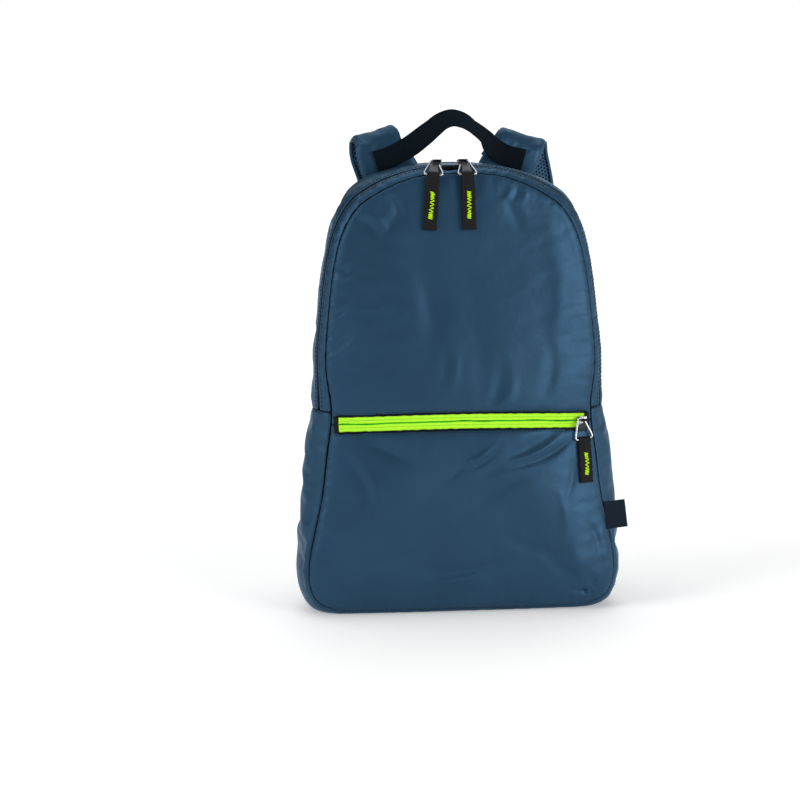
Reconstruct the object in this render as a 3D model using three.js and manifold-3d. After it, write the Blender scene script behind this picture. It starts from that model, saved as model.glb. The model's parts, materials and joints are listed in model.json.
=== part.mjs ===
// A packable daypack in thin blue nylon, standing upright and full.
// Two arched panels, front and back, are joined by a gusset that runs right round them.
// The upper gusset is split by the main zip, which stands a little open between its two sliders.
// The front carries a zipped pocket, the back two padded shoulder straps with webbing adjusters.
// Millimetres, +Z up, +Y towards the wearer, origin in the middle of the base on the ground.
import * as THREE from "three";
import { mergeVertices } from "three/addons/utils/BufferGeometryUtils.js";
import Module from "manifold-3d";

const wasm = await Module();
wasm.setup();

// Body: the two seams, the depth between them and how far each panel is blown out.
const bodyHeight = 420;
const baseHalfWidth = 148;
const baseDepth = 120;
const crownDepth = 91;
const taperStart = 60;
const frontTaperShare = 0.7;
const gussetBulge = 20;
const bulgeLead = 1.2;
const frontFullnessLow = 24;
const frontFullnessHigh = 15;
const backFullness = 6;
const panelCentreHeight = 200;
const pillowFlatness = 2.4;
const pillowEdge = 0.8;
const deepestFold = 3;

// Cloth and the gaps that its sewn edges keep.
const clothWall = 1.4;
const backWall = 2.2;
const seamGap = 0.4;

// Main zip along the upper gusset.
const mainZipSetback = 13;
const zipSlot = 1.2;
const coilWidth = 5;
const coilThickness = 1.4;
const coilUnder = 0.45;
const sliderSpacing = 25;
const sliderCentreOffset = -8.5;
const zipMouthWidth = 7.5;

// Front pocket zip, set in a window of the front.
const pocketZipHeight = 188;
const tapeShown = 14;
const tapeEndMargin = 7.6;
const tapeRecess = 0.5;
const tapeThickness = 1.1;
const endTabLength = 4;

// Zip slider, wire ring and webbing pull.
const sliderLength = 11;
const sliderWidth = 8;
const sliderPlate = 1.5;
const sliderRide = 0.45;
const archClear = 3;
const archBar = 1.3;
const archPost = 1.4;
const archWidth = 2.2;
const ringWire = 1.3;
const ringTopWidth = 6.4;
const ringLength = 20;
const ringCorner = 1.6;
const pullWidth = 13;
const mainPullLength = 54;
const pocketPullLength = 45;
const pullThickness = 2.6;
const ringSplay = 3.7;

// Grab handle webbing.
const handleWidth = 21;
const handleThickness = 1.8;
const handleReach = 75;
const handleRise = 42;

// Shoulder straps.
const strapThickness = 7;
const strapEdgeShare = 0.45;
const meshThickness = 2.4;
const strapStandoff = 38;
const strapSway = 12;
const strapBroad = 58;

// Adjuster buckles and lower webbing.
const webWidth = 25;
const webThickness = 1.6;
const buckleWidth = 33;
const buckleHeight = 29;
const buckleThickness = 4.4;
const buckleBar = 4.2;
const loopSlot = 8.5;
const tailLength = 80;
const loopLeg = 6;
const barCorner = 0.8;
const webAnchorUp = 36;
const webSewn = 22;

// Side tag.
const tagWidth = 19;
const tagHeight = 27;
const tagThickness = 1;
const tagUp = 92;

const fitGap = 0.3;

// The seams from the middle of the base, round the corner and up to the crown.
// out and backOut are shares of baseHalfWidth, up and backUp of bodyHeight, bulge of gussetBulge.
const SEAMS = [
  { at: "base middle", out: 0, up: 0.007, backOut: 0, backUp: 0.003, bulge: 0.5 },
  { at: "base end", out: 0.595, up: 0.008, backOut: 0.568, backUp: 0.004, bulge: 0.5 },
  { at: "corner start", out: 0.824, up: 0.013, backOut: 0.757, backUp: 0.012, bulge: 0.57 },
  { at: "corner", out: 0.939, up: 0.031, backOut: 0.865, backUp: 0.04, bulge: 0.65 },
  { at: "corner end", out: 0.993, up: 0.071, backOut: 0.905, backUp: 0.086, bulge: 0.62 },
  { at: "hip", out: 0.993, up: 0.124, backOut: 0.899, backUp: 0.138, bulge: 0.7 },
  { at: "low side", out: 0.953, up: 0.2, backOut: 0.872, backUp: 0.21, bulge: 0.85 },
  { at: "side", out: 0.909, up: 0.274, backOut: 0.851, backUp: 0.281, bulge: 0.95 },
  { at: "pocket side", out: 0.878, up: 0.362, backOut: 0.838, backUp: 0.367, bulge: 1 },
  { at: "pocket seam", out: 0.845, up: 0.467, backOut: 0.818, backUp: 0.469, bulge: 0.88 },
  { at: "waist", out: 0.878, up: 0.571, backOut: 0.804, backUp: 0.574, bulge: 0.62 },
  { at: "chest", out: 0.855, up: 0.69, backOut: 0.784, backUp: 0.693, bulge: 0.54 },
  { at: "shoulder low", out: 0.814, up: 0.798, backOut: 0.764, backUp: 0.805, bulge: 0.52 },
  { at: "shoulder", out: 0.757, up: 0.871, backOut: 0.743, backUp: 0.883, bulge: 0.5 },
  { at: "shoulder round", out: 0.662, up: 0.926, backOut: 0.696, backUp: 0.938, bulge: 0.46 },
  { at: "crown corner", out: 0.534, up: 0.958, backOut: 0.581, backUp: 0.979, bulge: 0.42 },
  { at: "crown side", out: 0.385, up: 0.983, backOut: 0.405, backUp: 1.002, bulge: 0.38 },
  { at: "crown near", out: 0.23, up: 0.998, backOut: 0.23, backUp: 1.014, bulge: 0.35 },
  { at: "crown", out: 0, up: 1.002, backOut: 0, backUp: 1.018, bulge: 0.34 },
];
const JOIN_ROW = SEAMS.findIndex((row) => row.at === "pocket seam");

// Folds of the front: out and up as shares like the seams, run in degrees from +X, length and
// width as shares of baseHalfWidth, depth inwards as a share of deepestFold.
const FRONT_FOLDS = [
  { at: "pocket zip pinch", out: 0, up: 0.447, run: 0, length: 1.01, width: 0.101, depth: 1 },
  { at: "corner dart right", out: 0.86, up: 0.06, run: 122, length: 0.18, width: 0.034, depth: 0.87 },
  { at: "corner dart left", out: -0.86, up: 0.06, run: 58, length: 0.18, width: 0.034, depth: 0.87 },
  { at: "pocket drag high", out: 0.42, up: 0.385, run: 28, length: 0.39, width: 0.061, depth: 0.73 },
  { at: "pocket drag low", out: 0.3, up: 0.315, run: 34, length: 0.47, width: 0.074, depth: 0.6 },
  { at: "pocket drag left", out: -0.4, up: 0.37, run: 150, length: 0.41, width: 0.068, depth: 0.6 },
  { at: "pocket sag", out: 0.05, up: 0.12, run: 4, length: 0.61, width: 0.108, depth: 0.53 },
  { at: "crown tuck left", out: -0.42, up: 0.9, run: 60, length: 0.18, width: 0.047, depth: 0.5 },
  { at: "crown tuck right", out: 0.34, up: 0.91, run: 118, length: 0.18, width: 0.047, depth: 0.5 },
  { at: "middle fall", out: 0.1, up: 0.62, run: 96, length: 0.54, width: 0.108, depth: 0.47 },
];

// Folds of the gusset: place is a row number of SEAMS and spread is in rows, across and width
// are shares of the depth between the seams, depth inwards a share of deepestFold.
const GUSSET_FOLDS = [
  { at: "side fold high", place: 11.4, across: 0.6, spread: 0.35, width: 0.2, depth: 0.83 },
  { at: "side fold low", place: 8.6, across: 0.62, spread: 0.4, width: 0.22, depth: 1 },
  { at: "join tuck", place: 9, across: 0.5, spread: 0.22, width: 0.4, depth: 0.53 },
  { at: "hip fold", place: 5.6, across: 0.66, spread: 0.45, width: 0.2, depth: 1 },
];

// Shoulder strap centre line. out is a share of baseHalfWidth, up of bodyHeight, off of
// strapStandoff behind the back seam, sway of strapSway to the right on both, width of
// strapBroad. lean turns the width, in degrees, where the strap comes up aslant.
const STRAP = [
  { at: "root", out: 0.342, up: 0.967, off: 0.14, sway: 0, width: 0.97, lean: 28 },
  { at: "crown seam", out: 0.39, up: 1, off: 0.165, sway: 0, width: 0.95, lean: 28 },
  { at: "rise", out: 0.448, up: 1.034, off: 0.17, sway: 0, width: 0.85, lean: 26 },
  { at: "fold in", out: 0.478, up: 1.06, off: 0.28, sway: 0, width: 0.79, lean: 21 },
  { at: "fold", out: 0.5, up: 1.07, off: 0.57, sway: 0, width: 0.78, lean: 14 },
  { at: "fold out", out: 0.512, up: 1.06, off: 0.87, sway: 0.05, width: 0.78, lean: 7 },
  { at: "shoulder", out: 0.514, up: 1.03, off: 0.98, sway: 0.3, width: 0.8, lean: 0 },
  { at: "upper", out: 0.492, up: 0.96, off: 1.04, sway: 1, width: 0.86, lean: 0 },
  { at: "breast", out: 0.52, up: 0.82, off: 1.06, sway: 1, width: 0.97, lean: 0 },
  { at: "ribs", out: 0.6, up: 0.66, off: 0.95, sway: 0.6, width: 1, lean: 0 },
  { at: "low", out: 0.665, up: 0.5, off: 0.8, sway: 0.3, width: 0.84, lean: 0 },
  { at: "end", out: 0.69, up: 0.4, off: 0.62, sway: 0.2, width: 0.6, lean: 0 },
];

// Grab handle centre line from the left end to the right. out is a share of handleReach,
// up of handleRise above the crown; tilt in degrees leans the upper edge back.
const HANDLE = [
  { at: "left end", out: -0.96, up: -0.02, tilt: 0 },
  { at: "left patch", out: -0.74, up: 0.11, tilt: 0 },
  { at: "left leaves strap", out: -0.51, up: 0.34, tilt: 5 },
  { at: "left leg low", out: -0.37, up: 0.53, tilt: 18 },
  { at: "left leg high", out: -0.22, up: 0.75, tilt: 32 },
  { at: "left of apex", out: -0.1, up: 0.92, tilt: 38 },
  { at: "apex", out: 0.04, up: 1, tilt: 39 },
  { at: "right of apex", out: 0.18, up: 0.94, tilt: 44 },
  { at: "right leg high", out: 0.3, up: 0.8, tilt: 54 },
  { at: "right leg low", out: 0.46, up: 0.58, tilt: 48 },
  { at: "right leaves strap", out: 0.56, up: 0.35, tilt: 26 },
  { at: "right patch", out: 0.73, up: 0.14, tilt: 0 },
  { at: "right end", out: 1, up: 0.01, tilt: 0 },
];

const { lerp, smoothstep, degToRad } = THREE.MathUtils;
const vector = (x, y, z) => new THREE.Vector3(x, y, z);

// Seam curves

function depthAt(z) {
  return lerp(baseDepth, crownDepth, smoothstep(z, taperStart, bodyHeight));
}

function frontPlane(z) {
  return -baseDepth / 2 + frontTaperShare * (baseDepth - depthAt(z));
}

function backPlane(z) {
  return frontPlane(z) + depthAt(z);
}

const seamRows = [...SEAMS, ...SEAMS.slice(1, -1).reverse().map(mirroredRow)];
const rowCount = seamRows.length;

function mirroredRow(row) {
  return { ...row, out: -row.out, backOut: -row.backOut };
}

function closedCurve(points) {
  return new THREE.CatmullRomCurve3(points, true, "centripetal");
}

const frontCurve = closedCurve(
  seamRows.map((row) => vector(row.out * baseHalfWidth, 0, row.up * bodyHeight)),
);
const backCurve = closedCurve(
  seamRows.map((row) => vector(row.backOut * baseHalfWidth, 0, row.backUp * bodyHeight)),
);

// A place on a seam is a row number, 0 at the base middle, counted up the right side.
function wrapPlace(place) {
  return (((place % rowCount) + rowCount) % rowCount) / rowCount;
}

function frontSeam(place) {
  const point = frontCurve.getPoint(wrapPlace(place));
  return point.setY(frontPlane(point.z));
}

function backSeam(place) {
  const point = backCurve.getPoint(wrapPlace(place));
  return point.setY(backPlane(point.z));
}

function bulgeAt(place) {
  const at = wrapPlace(place) * rowCount;
  const low = Math.floor(at) % rowCount;
  const high = (low + 1) % rowCount;
  const share = lerp(seamRows[low].bulge, seamRows[high].bulge, smoothstep(at - low, 0, 1));
  return share * gussetBulge;
}

// Blown-out panels as height fields over the XZ plane

function rimDistance(curve) {
  const samples = 720;
  const bins = [];
  for (let i = 0; i < samples; i += 1) {
    const point = curve.getPoint(i / samples);
    const up = point.z - panelCentreHeight;
    bins.push({ angle: Math.atan2(up, point.x), reach: Math.hypot(point.x, up) });
  }
  bins.sort((a, b) => a.angle - b.angle);
  return (x, z) => {
    const up = z - panelCentreHeight;
    const angle = Math.atan2(up, x);
    const found = bins.findIndex((bin) => bin.angle >= angle);
    const after = bins[found < 0 ? 0 : found];
    const before = bins[(found <= 0 ? samples : found) - 1];
    let span = after.angle - before.angle;
    let share = angle - before.angle;
    if (span < 0) span += 2 * Math.PI;
    if (share < 0) share += 2 * Math.PI;
    const reach = lerp(before.reach, after.reach, span > 0 ? share / span : 0);
    return Math.hypot(x, up) / reach;
  };
}

const frontReach = rimDistance(frontCurve);
const backReach = rimDistance(backCurve);

function pillow(reach) {
  const inside = Math.max(0, 1 - Math.min(reach, 1) ** pillowFlatness);
  return inside ** pillowEdge;
}

function foldDepth(x, z) {
  let depth = 0;
  for (const fold of FRONT_FOLDS) {
    const run = degToRad(fold.run);
    const dx = x - fold.out * baseHalfWidth;
    const dz = z - fold.up * bodyHeight;
    const along = (dx * Math.cos(run) + dz * Math.sin(run)) / (fold.length * baseHalfWidth);
    const over = (dz * Math.cos(run) - dx * Math.sin(run)) / (fold.width * baseHalfWidth);
    depth += fold.depth * deepestFold * Math.exp(-2 * along * along - 2 * over * over);
  }
  return depth;
}

function frontSurface(x, z) {
  const reach = frontReach(x, z);
  const fullness = lerp(frontFullnessLow, frontFullnessHigh, smoothstep(z, 0, bodyHeight));
  const settled = foldDepth(x, z) * Math.min(1, pillow(reach) * 3);
  return vector(x, frontPlane(z) - fullness * pillow(reach) + settled, z);
}

function backSurface(x, z) {
  return vector(x, backPlane(z) + backFullness * pillow(backReach(x, z)), z);
}

function normalOf(surface, x, z, outwards) {
  const step = 0.5;
  const alongX = surface(x + step, z).sub(surface(x - step, z));
  const alongZ = surface(x, z + step).sub(surface(x, z - step));
  const normal = alongX.cross(alongZ).normalize();
  return Math.sign(normal.y) === Math.sign(outwards) ? normal : normal.negate();
}

// Gusset surface: place round the seams, across from 0 at the front seam to 1 at the back

function bulgeShape(across) {
  return Math.sin((Math.PI * across * (1 + bulgeLead)) / (1 + bulgeLead * across));
}

function seamOutwards(place) {
  const step = 0.05;
  const before = frontSeam(place - step).add(backSeam(place - step));
  const after = frontSeam(place + step).add(backSeam(place + step));
  const tangent = after.sub(before).setY(0).normalize();
  return vector(tangent.z, 0, -tangent.x);
}

function gussetFold(place, across) {
  let depth = 0;
  for (const fold of GUSSET_FOLDS) {
    for (const row of [fold.place, rowCount - fold.place]) {
      const along = (wrapPlace(place) * rowCount - row) / fold.spread;
      const over = (across - fold.across) / fold.width;
      depth += fold.depth * deepestFold * Math.exp(-2 * along * along - 2 * over * over);
    }
  }
  return depth;
}

function gussetPoint(place, across) {
  const seam = frontSeam(place).lerp(backSeam(place), across);
  const out = bulgeAt(place) * bulgeShape(across) - gussetFold(place, across);
  const point = seam.addScaledVector(seamOutwards(place), out);
  return point.setZ(Math.max(0, point.z));
}

function gussetNormal(place, across) {
  const step = 0.02;
  const round = gussetPoint(place + step, across).sub(gussetPoint(place - step, across));
  const low = Math.max(0, across - step);
  const high = Math.min(1, across + step);
  const over = gussetPoint(place, high).sub(gussetPoint(place, low));
  const normal = round.cross(over).normalize();
  return normal.dot(seamOutwards(place)) > 0 ? normal : normal.negate();
}

function acrossOf(place, setback) {
  const depth = backSeam(place).y - frontSeam(place).y;
  return setback / depth;
}

// Closed solids from triangles

function solidGeometry(triangles) {
  const kept = triangles.filter(([a, b, c]) => {
    return a.distanceTo(b) > 1e-4 && b.distanceTo(c) > 1e-4 && c.distanceTo(a) > 1e-4;
  });
  const volume = kept.reduce((sum, [a, b, c]) => sum + a.dot(b.clone().cross(c)), 0);
  const positions = [];
  for (const [a, b, c] of kept) {
    const turned = volume < 0 ? [a, c, b] : [a, b, c];
    for (const corner of turned) positions.push(corner.x, corner.y, corner.z);
  }
  const geometry = new THREE.BufferGeometry();
  geometry.setAttribute("position", new THREE.Float32BufferAttribute(positions, 3));
  return mergeVertices(geometry, 1e-3);
}

// A wall between two grids of points, closed along all four edges.
function wallBetween(outer, inner) {
  const triangles = [];
  const quad = (a, b, c, d) => triangles.push([a, b, c], [a, c, d]);
  const rows = outer.length - 1;
  const columns = outer[0].length - 1;
  for (let i = 0; i < rows; i += 1) {
    for (let j = 0; j < columns; j += 1) {
      quad(outer[i][j], outer[i][j + 1], outer[i + 1][j + 1], outer[i + 1][j]);
      quad(inner[i][j], inner[i + 1][j], inner[i + 1][j + 1], inner[i][j + 1]);
    }
    quad(outer[i][0], outer[i + 1][0], inner[i + 1][0], inner[i][0]);
    quad(outer[i + 1][columns], outer[i][columns], inner[i][columns], inner[i + 1][columns]);
  }
  for (let j = 0; j < columns; j += 1) {
    quad(outer[0][j + 1], outer[0][j], inner[0][j], inner[0][j + 1]);
    quad(outer[rows][j], outer[rows][j + 1], inner[rows][j + 1], inner[rows][j]);
  }
  return solidGeometry(triangles);
}

// A solid through closed sections of equal point counts, with flat ends.
function loft(sections) {
  const triangles = [];
  const count = sections[0].length;
  for (let i = 0; i + 1 < sections.length; i += 1) {
    for (let j = 0; j < count; j += 1) {
      const k = (j + 1) % count;
      triangles.push([sections[i][j], sections[i][k], sections[i + 1][k]]);
      triangles.push([sections[i][j], sections[i + 1][k], sections[i + 1][j]]);
    }
  }
  const first = sections[0];
  const last = sections[sections.length - 1];
  for (let j = 1; j + 1 < count; j += 1) {
    triangles.push([first[0], first[j + 1], first[j]]);
    triangles.push([last[0], last[j], last[j + 1]]);
  }
  return solidGeometry(triangles);
}

function toManifold(geometry) {
  const bare = new THREE.BufferGeometry();
  bare.setAttribute("position", geometry.getAttribute("position"));
  bare.setIndex(geometry.index);
  const merged = mergeVertices(bare, 1e-4);
  return new wasm.Manifold(
    new wasm.Mesh({
      numProp: 3,
      vertProperties: new Float32Array(merged.getAttribute("position").array),
      triVerts: new Uint32Array(merged.index.array),
    }),
  );
}

function fromManifold(solid) {
  const mesh = solid.getMesh();
  const geometry = new THREE.BufferGeometry();
  geometry.setAttribute("position", new THREE.BufferAttribute(mesh.vertProperties, 3));
  geometry.setIndex(new THREE.BufferAttribute(mesh.triVerts, 1));
  return geometry;
}

function boxManifold(low, high) {
  const size = high.clone().sub(low);
  const box = new THREE.BoxGeometry(size.x, size.y, size.z);
  const middle = low.clone().add(high).multiplyScalar(0.5);
  box.translate(middle.x, middle.y, middle.z);
  return toManifold(box);
}

// Materials

function cloth(name, color, roughness = 0.7) {
  return new THREE.MeshStandardMaterial({ name, color, roughness, metalness: 0 });
}

const nylon = cloth("nylon", 0x3c5f7c, 0.55);
const airMesh = cloth("air_mesh", 0x2f5878, 0.9);
const navyWebbing = cloth("navy_webbing", 0x0b1a26, 0.8);
const blackWebbing = cloth("black_webbing", 0x232325, 0.8);
const greenTape = cloth("green_tape", 0x9be02f, 0.7);
const darkCoil = cloth("dark_coil", 0x101a24, 0.5);
const plastic = cloth("black_plastic", 0x15171a, 0.4);
const steel = new THREE.MeshStandardMaterial({
  name: "steel",
  color: 0xc4c6c8,
  roughness: 0.25,
  metalness: 1,
});

const bag = new THREE.Group();

function addPiece(name, geometry, material, parent = bag) {
  const mesh = new THREE.Mesh(geometry, material);
  mesh.name = name;
  parent.add(mesh);
  return mesh;
}

// Panels

const seamInset = clothWall + seamGap;
const backInset = clothWall + 2 * seamGap;

function insetRim(curve, place, inset) {
  const rim = curve.getPoint(wrapPlace(place));
  const up = rim.z - panelCentreHeight;
  const reach = 1 - inset / Math.hypot(rim.x, up);
  return { x: rim.x * reach, z: panelCentreHeight + up * reach };
}

// Turns rows of { x, z } into an outer and an inner grid of points on a surface.
function onSurface(rows, { surface, outwards, from, thickness }) {
  const layer = (depth) => rows.map((row) => row.map(({ x, z }) => {
    const normal = normalOf(surface, x, z, outwards);
    return surface(x, z).addScaledVector(normal, -depth);
  }));
  return [layer(from), layer(from + thickness)];
}

// The place on the right front seam at a height.
function frontPlaceAt(z) {
  let low = SEAMS.findIndex((row) => row.at === "corner");
  let high = SEAMS.length - 1;
  for (let i = 0; i < 40; i += 1) {
    const middle = (low + high) / 2;
    if (insetRim(frontCurve, middle, seamInset).z < z) low = middle;
    else high = middle;
  }
  return low;
}

function evenPlaces(from, to, steps) {
  return Array.from({ length: steps + 1 }, (_, i) => lerp(from, to, i / steps));
}

const frontColumns = 42;
const frontRows = 7;
const rowCrowding = 1.5;

// One part of the front: from a level line at z to the rim above it or below it.
function frontPart(z, above) {
  const start = frontPlaceAt(z);
  const end = above ? rowCount - start : -start;
  const rims = evenPlaces(start, end, frontColumns).map((place) => {
    return insetRim(frontCurve, place, seamInset);
  });
  const half = rims[0].x;
  const rows = evenPlaces(0, 1, frontRows).map((step) => {
    const share = 1 - (1 - step) ** rowCrowding;
    return rims.map((rim, i) => {
      const x = lerp(half, -half, i / frontColumns);
      return { x: lerp(x, rim.x, share), z: lerp(z, rim.z, share) };
    });
  });
  const sheet = { surface: frontSurface, outwards: -1, from: 0, thickness: clothWall };
  const [outer, inner] = onSurface(rows, sheet);
  return toManifold(wallBetween(outer, inner));
}

function frontHalfWidthAt(z) {
  return frontSeam(frontPlaceAt(z)).x;
}

const tapeHalfLength = frontHalfWidthAt(pocketZipHeight) - tapeEndMargin;

function addFront() {
  const windowHalf = tapeHalfLength + endTabLength + 2 * fitGap;
  const deep = baseDepth + frontFullnessLow;
  const window = boxManifold(
    vector(-windowHalf, -deep, pocketZipHeight - tapeShown / 2),
    vector(windowHalf, 0, pocketZipHeight + tapeShown / 2),
  );
  const upper = frontPart(pocketZipHeight + fitGap / 2, true).subtract(window);
  const lower = frontPart(pocketZipHeight - fitGap / 2, false).subtract(window);
  addPiece("front_panel", fromManifold(upper), nylon);
  addPiece("pocket_panel", fromManifold(lower), nylon);
}

// A level strip of zip tape between two X and two heights.
function tapeStrip(fromX, toX, low, high, columns) {
  const layer = (depth) => [low, high].map((z) => {
    return evenPlaces(fromX, toX, columns).map((x) => {
      return frontSurface(x, z).add(vector(0, depth, 0));
    });
  });
  return wallBetween(layer(tapeRecess), layer(tapeRecess + tapeThickness));
}

function addPocketZip() {
  const edge = tapeShown / 2 - fitGap;
  const low = pocketZipHeight - edge;
  const high = pocketZipHeight + edge;
  const half = tapeHalfLength;
  const upperTape = tapeStrip(-half, half, pocketZipHeight + fitGap / 2, high, 26);
  const lowerTape = tapeStrip(-half, half, low, pocketZipHeight - fitGap / 2, 26);
  addPiece("pocket_tape_upper", upperTape, greenTape);
  addPiece("pocket_tape_lower", lowerTape, greenTape);
  const from = half + fitGap;
  const to = from + endTabLength;
  addPiece("pocket_zip_end_right", tapeStrip(from, to, low, high, 1), blackWebbing);
  addPiece("pocket_zip_end_left", tapeStrip(-to, -from, low, high, 1), blackWebbing);
}

const backRings = 3;
const backAround = 72;

// The back panel is one dome of rings about the panel centre.
function addBackPanel() {
  const sheet = { surface: backSurface, outwards: 1, from: 0, thickness: backWall };
  const rims = evenPlaces(0, rowCount, backAround)
    .slice(0, -1)
    .map((place) => insetRim(backCurve, place, backInset));
  const rows = evenPlaces(0, 1, backRings).map((step) => {
    const share = Math.sin(step * (Math.PI / 2));
    return rims.map((rim) => ({
      x: rim.x * share,
      z: lerp(panelCentreHeight, rim.z, share),
    }));
  });
  const [outer, inner] = onSurface(rows, sheet);
  addPiece("back_panel", dome(outer, inner), nylon);
}

// Two stacked domes of rings, joined at their rims. The first ring is the middle point.
function dome(outer, inner) {
  const triangles = [];
  const quad = (a, b, c, d) => triangles.push([a, b, c], [a, c, d]);
  const last = outer.length - 1;
  const count = outer[0].length;
  for (let i = 0; i < count; i += 1) {
    const k = (i + 1) % count;
    for (let ring = 0; ring < last; ring += 1) {
      quad(outer[ring][i], outer[ring][k], outer[ring + 1][k], outer[ring + 1][i]);
      quad(inner[ring][i], inner[ring + 1][i], inner[ring + 1][k], inner[ring][k]);
    }
    quad(outer[last][i], outer[last][k], inner[last][k], inner[last][i]);
  }
  return solidGeometry(triangles);
}

// Gusset strips

const zipFrom = JOIN_ROW;
const zipTo = rowCount - JOIN_ROW;
const joinHalfGap = 0.008;

// The place on the crown where the zip line passes a given X.
function crownPlace(x) {
  let low = rowCount / 2 - 3;
  let high = rowCount / 2 + 3;
  for (let i = 0; i < 40; i += 1) {
    const middle = (low + high) / 2;
    const passed = gussetPoint(middle, acrossOf(middle, mainZipSetback)).x > x;
    if (passed) low = middle;
    else high = middle;
  }
  return low;
}

const rightSliderPlace = crownPlace(sliderCentreOffset + sliderSpacing / 2);
const leftSliderPlace = crownPlace(sliderCentreOffset - sliderSpacing / 2);

const stripPlaces = [
  ...evenPlaces(zipFrom + joinHalfGap, rightSliderPlace, 18).slice(0, -1),
  ...evenPlaces(rightSliderPlace, leftSliderPlace, 6).slice(0, -1),
  ...evenPlaces(leftSliderPlace, zipTo - joinHalfGap, 18),
];

function mouthAt(place) {
  const share = (place - rightSliderPlace) / (leftSliderPlace - rightSliderPlace);
  const inside = Math.max(0, 4 * share * (1 - share));
  return zipSlot / 2 + ((zipMouthWidth - zipSlot) / 2) * Math.sin((Math.PI / 2) * inside);
}

// lines are functions that give the across share at a place, from the front edge to the back.
function gussetWall(places, lines, from, thickness) {
  const outer = [];
  const inner = [];
  for (const line of lines) {
    const outerRow = [];
    const innerRow = [];
    for (const place of places) {
      const across = line(place);
      const point = gussetPoint(place, across);
      const normal = gussetNormal(place, across);
      outerRow.push(point.clone().addScaledVector(normal, -from));
      innerRow.push(point.clone().addScaledVector(normal, -from - thickness));
    }
    outer.push(outerRow);
    inner.push(innerRow);
  }
  return wallBetween(outer, inner);
}

function linesBetween(first, last, steps) {
  return evenPlaces(0, 1, steps).map((share) => {
    return (place) => lerp(first(place), last(place), share);
  });
}

const frontEdge = () => 0;
const backEdge = (place) => 1 - acrossOf(place, seamGap);
const coilFront = (place) => acrossOf(place, mainZipSetback - coilWidth / 2);
const coilBack = (place) => acrossOf(place, mainZipSetback + coilWidth / 2);

function addGusset() {
  const zipFront = (place) => acrossOf(place, mainZipSetback - mouthAt(place));
  const zipBack = (place) => acrossOf(place, mainZipSetback + mouthAt(place));
  const beside = (place) => acrossOf(place, mainZipSetback + zipMouthWidth);
  const band = linesBetween(frontEdge, zipFront, 3);
  addPiece("zip_band", gussetWall(stripPlaces, band, 0, clothWall), nylon);
  const rear = [zipBack, ...linesBetween(beside, backEdge, 5)];
  addPiece("upper_gusset", gussetWall(stripPlaces, rear, 0, clothWall), nylon);
  const lowerPlaces = evenPlaces(-JOIN_ROW + joinHalfGap, JOIN_ROW - joinHalfGap, 36);
  const lower = linesBetween(frontEdge, backEdge, 8);
  addPiece("lower_gusset", gussetWall(lowerPlaces, lower, 0, clothWall), nylon);
}

function addMainZip() {
  const under = clothWall + coilUnder;
  const places = stripPlaces.slice(1, -1);
  const runs = [
    { name: "main_zip_coil_right", places: places.filter((at) => at <= rightSliderPlace) },
    { name: "main_zip_coil_left", places: places.filter((at) => at >= leftSliderPlace) },
  ];
  for (const run of runs) {
    const coil = gussetWall(run.places, [coilFront, coilBack], under, coilThickness);
    addPiece(run.name, coil, darkCoil);
  }
}

// Zip sliders with their rings and pulls

const archReachShare = 0.78;
const archShoulder = 0.75;
const mainRingClear = 5.2;
const mainRingSag = 1.2;
const mainPullClear = 2.6;
const pocketRingClear = 3.2;
const pocketPullClear = 1.4;
const pocketSliderOut = 0.6;
const pocketRingIn = 1;
const ringSitsShare = 0.55;

function sliderGeometry() {
  const plate = new THREE.Shape();
  const halfLength = sliderLength / 2;
  const halfWidth = sliderWidth / 2;
  plate.moveTo(-halfLength, -halfWidth * 0.6);
  plate.lineTo(-halfLength * 0.5, -halfWidth);
  plate.lineTo(halfLength * 0.8, -halfWidth);
  plate.lineTo(halfLength, -halfWidth * 0.7);
  plate.lineTo(halfLength, halfWidth * 0.7);
  plate.lineTo(halfLength * 0.8, halfWidth);
  plate.lineTo(-halfLength * 0.5, halfWidth);
  plate.lineTo(-halfLength, halfWidth * 0.6);
  plate.closePath();
  const plateSolid = new THREE.ExtrudeGeometry(plate, { depth: sliderPlate, bevelEnabled: false });
  const archHalf = halfLength * archReachShare;
  const archTop = archClear + archBar;
  const sunk = sliderPlate / 2;
  const arch = new THREE.Shape();
  arch.moveTo(-archHalf, -sunk);
  arch.lineTo(-archHalf + archPost, -sunk);
  arch.lineTo(-archHalf + archPost, archClear);
  arch.lineTo(archHalf - archPost, archClear);
  arch.lineTo(archHalf - archPost, -sunk);
  arch.lineTo(archHalf, -sunk);
  arch.lineTo(archHalf, archTop * archShoulder);
  arch.lineTo(archHalf - archPost * 0.6, archTop);
  arch.lineTo(-archHalf + archPost * 0.6, archTop);
  arch.lineTo(-archHalf, archTop * archShoulder);
  arch.closePath();
  const archSolid = new THREE.ExtrudeGeometry(arch, { depth: archWidth, bevelEnabled: false });
  archSolid.rotateX(Math.PI / 2);
  archSolid.translate(0, archWidth / 2, sliderPlate);
  return fromManifold(toManifold(plateSolid).add(toManifold(archSolid)));
}

// The ring lies in its own XY plane and hangs towards -Y; one leg passes under the arch.
const ringTop = archWidth / 2 + fitGap + ringWire / 2;

function ringCurve() {
  const top = ringTop;
  const halfTop = ringTopWidth / 2;
  const halfBar = pullWidth / 2 + fitGap + ringWire / 2;
  const halfBottom = halfBar + ringCorner;
  const low = top - ringLength;
  const corners = [
    vector(-halfTop * 0.7, top, 0),
    vector(halfTop * 0.7, top, 0),
    vector(halfTop, top - ringCorner, 0),
    vector(halfBottom, low + ringCorner, 0),
    vector(halfBar, low, 0),
    vector(-halfBar, low, 0),
    vector(-halfBottom, low + ringCorner, 0),
    vector(-halfTop, top - ringCorner, 0),
  ];
  const path = new THREE.CurvePath();
  corners.forEach((corner, i) => {
    path.add(new THREE.LineCurve3(corner, corners[(i + 1) % corners.length]));
  });
  return path;
}

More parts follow.
